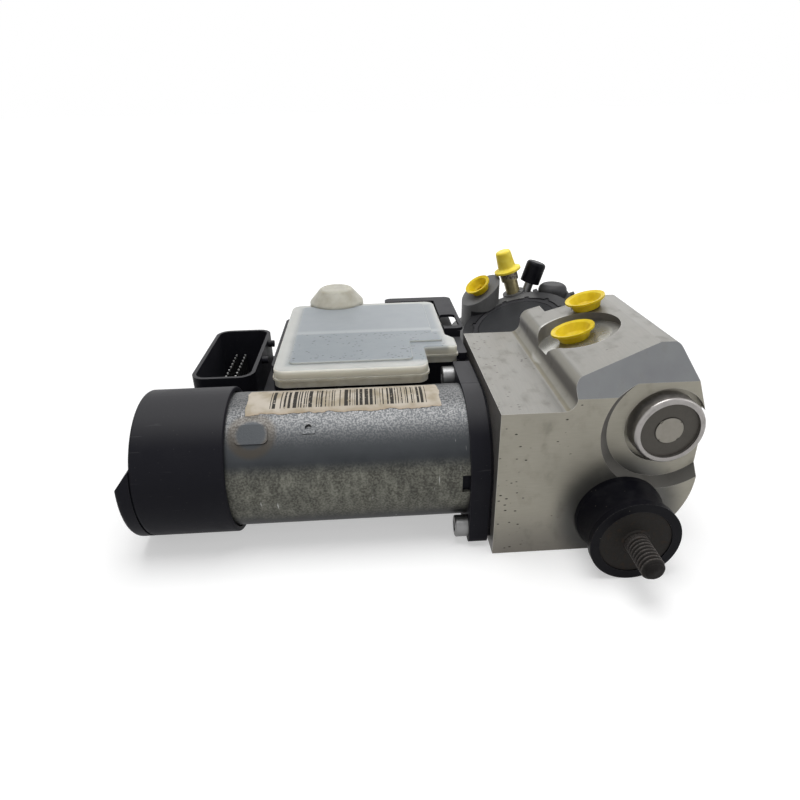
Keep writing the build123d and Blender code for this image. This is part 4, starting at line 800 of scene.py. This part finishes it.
# %% [markdown]
# A spring shortens when its piston comes nearer, which a rigid solid can't do. So the three springs are made
# again here as round wire along a helix. Each coil is baked in place and not blended across its joint, so
# here it doesn't shorten. Each joint's axis points from the moving end towards the end that stays.

# %% Springs as coils of wire
points_per_turn = 36
points_round_wire = 14


def coil(base, axis, length, radius, wire, turns):
    """Round wire along a helix: each ring of points stands square to the helix at its angle."""
    angle = np.linspace(0, 2 * np.pi * turns, points_per_turn * turns + 1)
    height = np.linspace(wire / 2, length - wire / 2, len(angle))
    spine = about_axis(base, axis, height, np.full(len(angle), radius), angle)
    out = about_axis((0, 0, 0), axis, 0 * height, np.ones(len(angle)), angle)
    ahead = np.gradient(spine, axis=0)
    side = np.cross(ahead / np.linalg.norm(ahead, axis=1, keepdims=True), out)
    turn = np.linspace(0, 2 * np.pi, points_round_wire, endpoint=False)[:, None]
    return spine[:, None] + wire / 2 * (np.cos(turn) * out[:, None] + np.sin(turn) * side[:, None])


springs = {
    "accumulator_spring": ("accumulator_stroke", 1.6 * mm, 5),
    "plunger_spring_1": ("plunger_a_stroke", 0.8 * mm, 4),
    "plunger_spring_2": ("plunger_b_stroke", 0.8 * mm, 4),
}
joints = {joint["name"]: joint for joint in frame["record"]["behaviour"]["joints"]}
for name, (stroke, wire, turns) in springs.items():
    low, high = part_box(name)
    axis = Vector(joints[stroke]["axis"])
    length = abs((high - low).dot(axis))
    width = (sum(high - low) - length) / 2
    near = middle(name) - axis * length / 2
    crossing = (joints[stroke]["child"], joints[stroke]["parent"], near, near + axis * length)
    points = coil(near, axis, length, (width - wire) / 2, wire, turns)
    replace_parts(skin_of(name + "_coil", points, "spring", name, crossing=crossing), name)
    print(name, "length in mm", round(length / mm, 2), "coil radius", round((width - wire) / 2 / mm, 2))

# %% [markdown]
# The floor is plain and pale, and the world stands in for a backdrop. Towards whoever looks at it, be it the
# camera, a mirror or a ray through glass, the floor glows a little, more so further out. That carries it to
# white without casting more light on the object, and the object's shadow stays on it. The glow changes over
# the floor, so it steers the emission's colour, and the strength stays a single number.

# %% Floor
floor_size = 40.0
floor_z = cad_low.z - 0.1 * mm
corners = [(x * floor_size, y * floor_size, floor_z) for x, y in ((-1, -1), (1, -1), (1, 1), (-1, 1))]
ground = bpy.data.meshes.new("floor")
ground.from_pydata(corners, [], [(0, 1, 2, 3)])
floor = bpy.data.objects.new("floor", ground)
bpy.context.scene.collection.objects.link(floor)
paper_floor = Finish("pale_floor", (0.62, 0.62, 0.62), 0.9)
seen = paper_floor.node("LightPath", {}, {}, "Is Camera Ray")
mirrored = paper_floor.node("LightPath", {}, {}, "Is Glossy Ray")
through = paper_floor.node("LightPath", {}, {}, "Is Transmission Ray")
away = paper_floor.around((cad_low + cad_high) / 2, 0, 1).over(0.15, 0.9)
lift = (seen + mirrored + through).over(0.1, 0.9) * (0.45 + away * 0.45)
paper_floor.give("Emission Color", paper_floor.mixed((0.0, 0.0, 0.0), (1.0, 1.0, 1.0), lift))
paper_floor.give("Emission Strength", 1.0)
ground.materials.append(paper_floor.material)
print("floor below the origin in mm", round(-floor_z / mm, 1))

# %% [markdown]
# The camera stands where the photographer stood: close, a little left of the stud, looking slightly down,
# which is why the near corner of the block looks so large.

# %% Camera
shot = bpy.data.cameras.new("camera")
shot.sensor_width = 36.0
photo_width = 800
focal_pixels = 587.2
shot.lens = focal_pixels / photo_width * shot.sensor_width
shot.clip_start = 0.01
camera_place = (-0.107593, -0.186571, 0.163838)
yaw, pitch, roll = np.radians([3.1108, 26.4115, 1.0984])
forward = np.array([np.sin(yaw) * np.cos(pitch), np.cos(yaw) * np.cos(pitch), -np.sin(pitch)])
right = np.array([np.cos(yaw), -np.sin(yaw), 0.0])
down = np.cross(forward, right)
level = np.array([[np.cos(roll), np.sin(roll), 0], [-np.sin(roll), np.cos(roll), 0], [0, 0, 1]])
image_right, image_down, image_in = level @ np.array([right, down, forward])
turned = Matrix(np.array([image_right, -image_down, -image_in]).T.tolist()).to_4x4()
camera = bpy.data.objects.new("camera", shot)
camera.matrix_world = Matrix.Translation(camera_place) @ turned
bpy.context.scene.collection.objects.link(camera)
bpy.context.scene.camera = camera
print("lens in mm", round(shot.lens, 2))

# %% [markdown]
# Four large soft lamps and a white world. A broad lamp overhead makes the highlight along the can, one from
# the right keeps the stud readable, a low one from the camera's side opens shadows, and one from behind
# draws the far edges. The world is at its full white for the camera, in mirrors and through glass, but
# lights matt surfaces with a small part of it, so that the lamps decide the shading.

# %% Lamps and world
def softbox(name, place, towards, size, power):
    """Square lamp at a place, turned to look at a point."""
    lamp = bpy.data.lights.new(name, "AREA")
    lamp.shape = "SQUARE"
    lamp.size = size
    lamp.energy = power
    box = bpy.data.objects.new(name, lamp)
    box.matrix_world = Matrix.Translation(place) @ (
        (Vector(towards) - Vector(place)).to_track_quat("-Z", "Y").to_matrix().to_4x4())
    bpy.context.scene.collection.objects.link(box)


lamps = {
    "overhead": ((-0.12, 0.08, 0.85), 0.6, 6.0),
    "from_right": ((0.8, -0.3, 0.5), 0.6, 1.8),
    "from_camera": ((-0.35, -0.9, 0.35), 0.8, 0.9),
    "from_behind": ((0.25, 1.0, 0.6), 0.7, 1.8),
}
for name, (place, size, power) in lamps.items():
    softbox(name, place, (cad_low + cad_high) / 2, size, power)
print("lamps", len(lamps))

matt_share = 0.22
world = bpy.data.worlds.new("studio")
bpy.context.scene.world = world
world.use_nodes = True
surround = world.node_tree
surround.nodes.clear()
backdrop = surround.nodes.new("ShaderNodeBackground")
ray = surround.nodes.new("ShaderNodeLightPath")
mirrors = surround.nodes.new("ShaderNodeMath")
mirrors.operation = "MAXIMUM"
surround.links.new(ray.outputs["Is Glossy Ray"], mirrors.inputs[0])
surround.links.new(ray.outputs["Is Transmission Ray"], mirrors.inputs[1])
shows = surround.nodes.new("ShaderNodeMath")
shows.operation = "MAXIMUM"
surround.links.new(ray.outputs["Is Camera Ray"], shows.inputs[0])
surround.links.new(mirrors.outputs[0], shows.inputs[1])
strength = surround.nodes.new("ShaderNodeMapRange")
surround.links.new(shows.outputs[0], strength.inputs["Value"])
strength.inputs["To Min"].default_value = matt_share
strength.inputs["To Max"].default_value = 1.0
surround.links.new(strength.outputs[0], backdrop.inputs["Strength"])
backdrop.inputs["Color"].default_value = (1.0, 1.0, 1.0, 1.0)
shown = surround.nodes.new("ShaderNodeOutputWorld")
surround.links.new(backdrop.outputs[0], shown.inputs[0])
bpy.context.scene.view_settings.view_transform = "Standard"
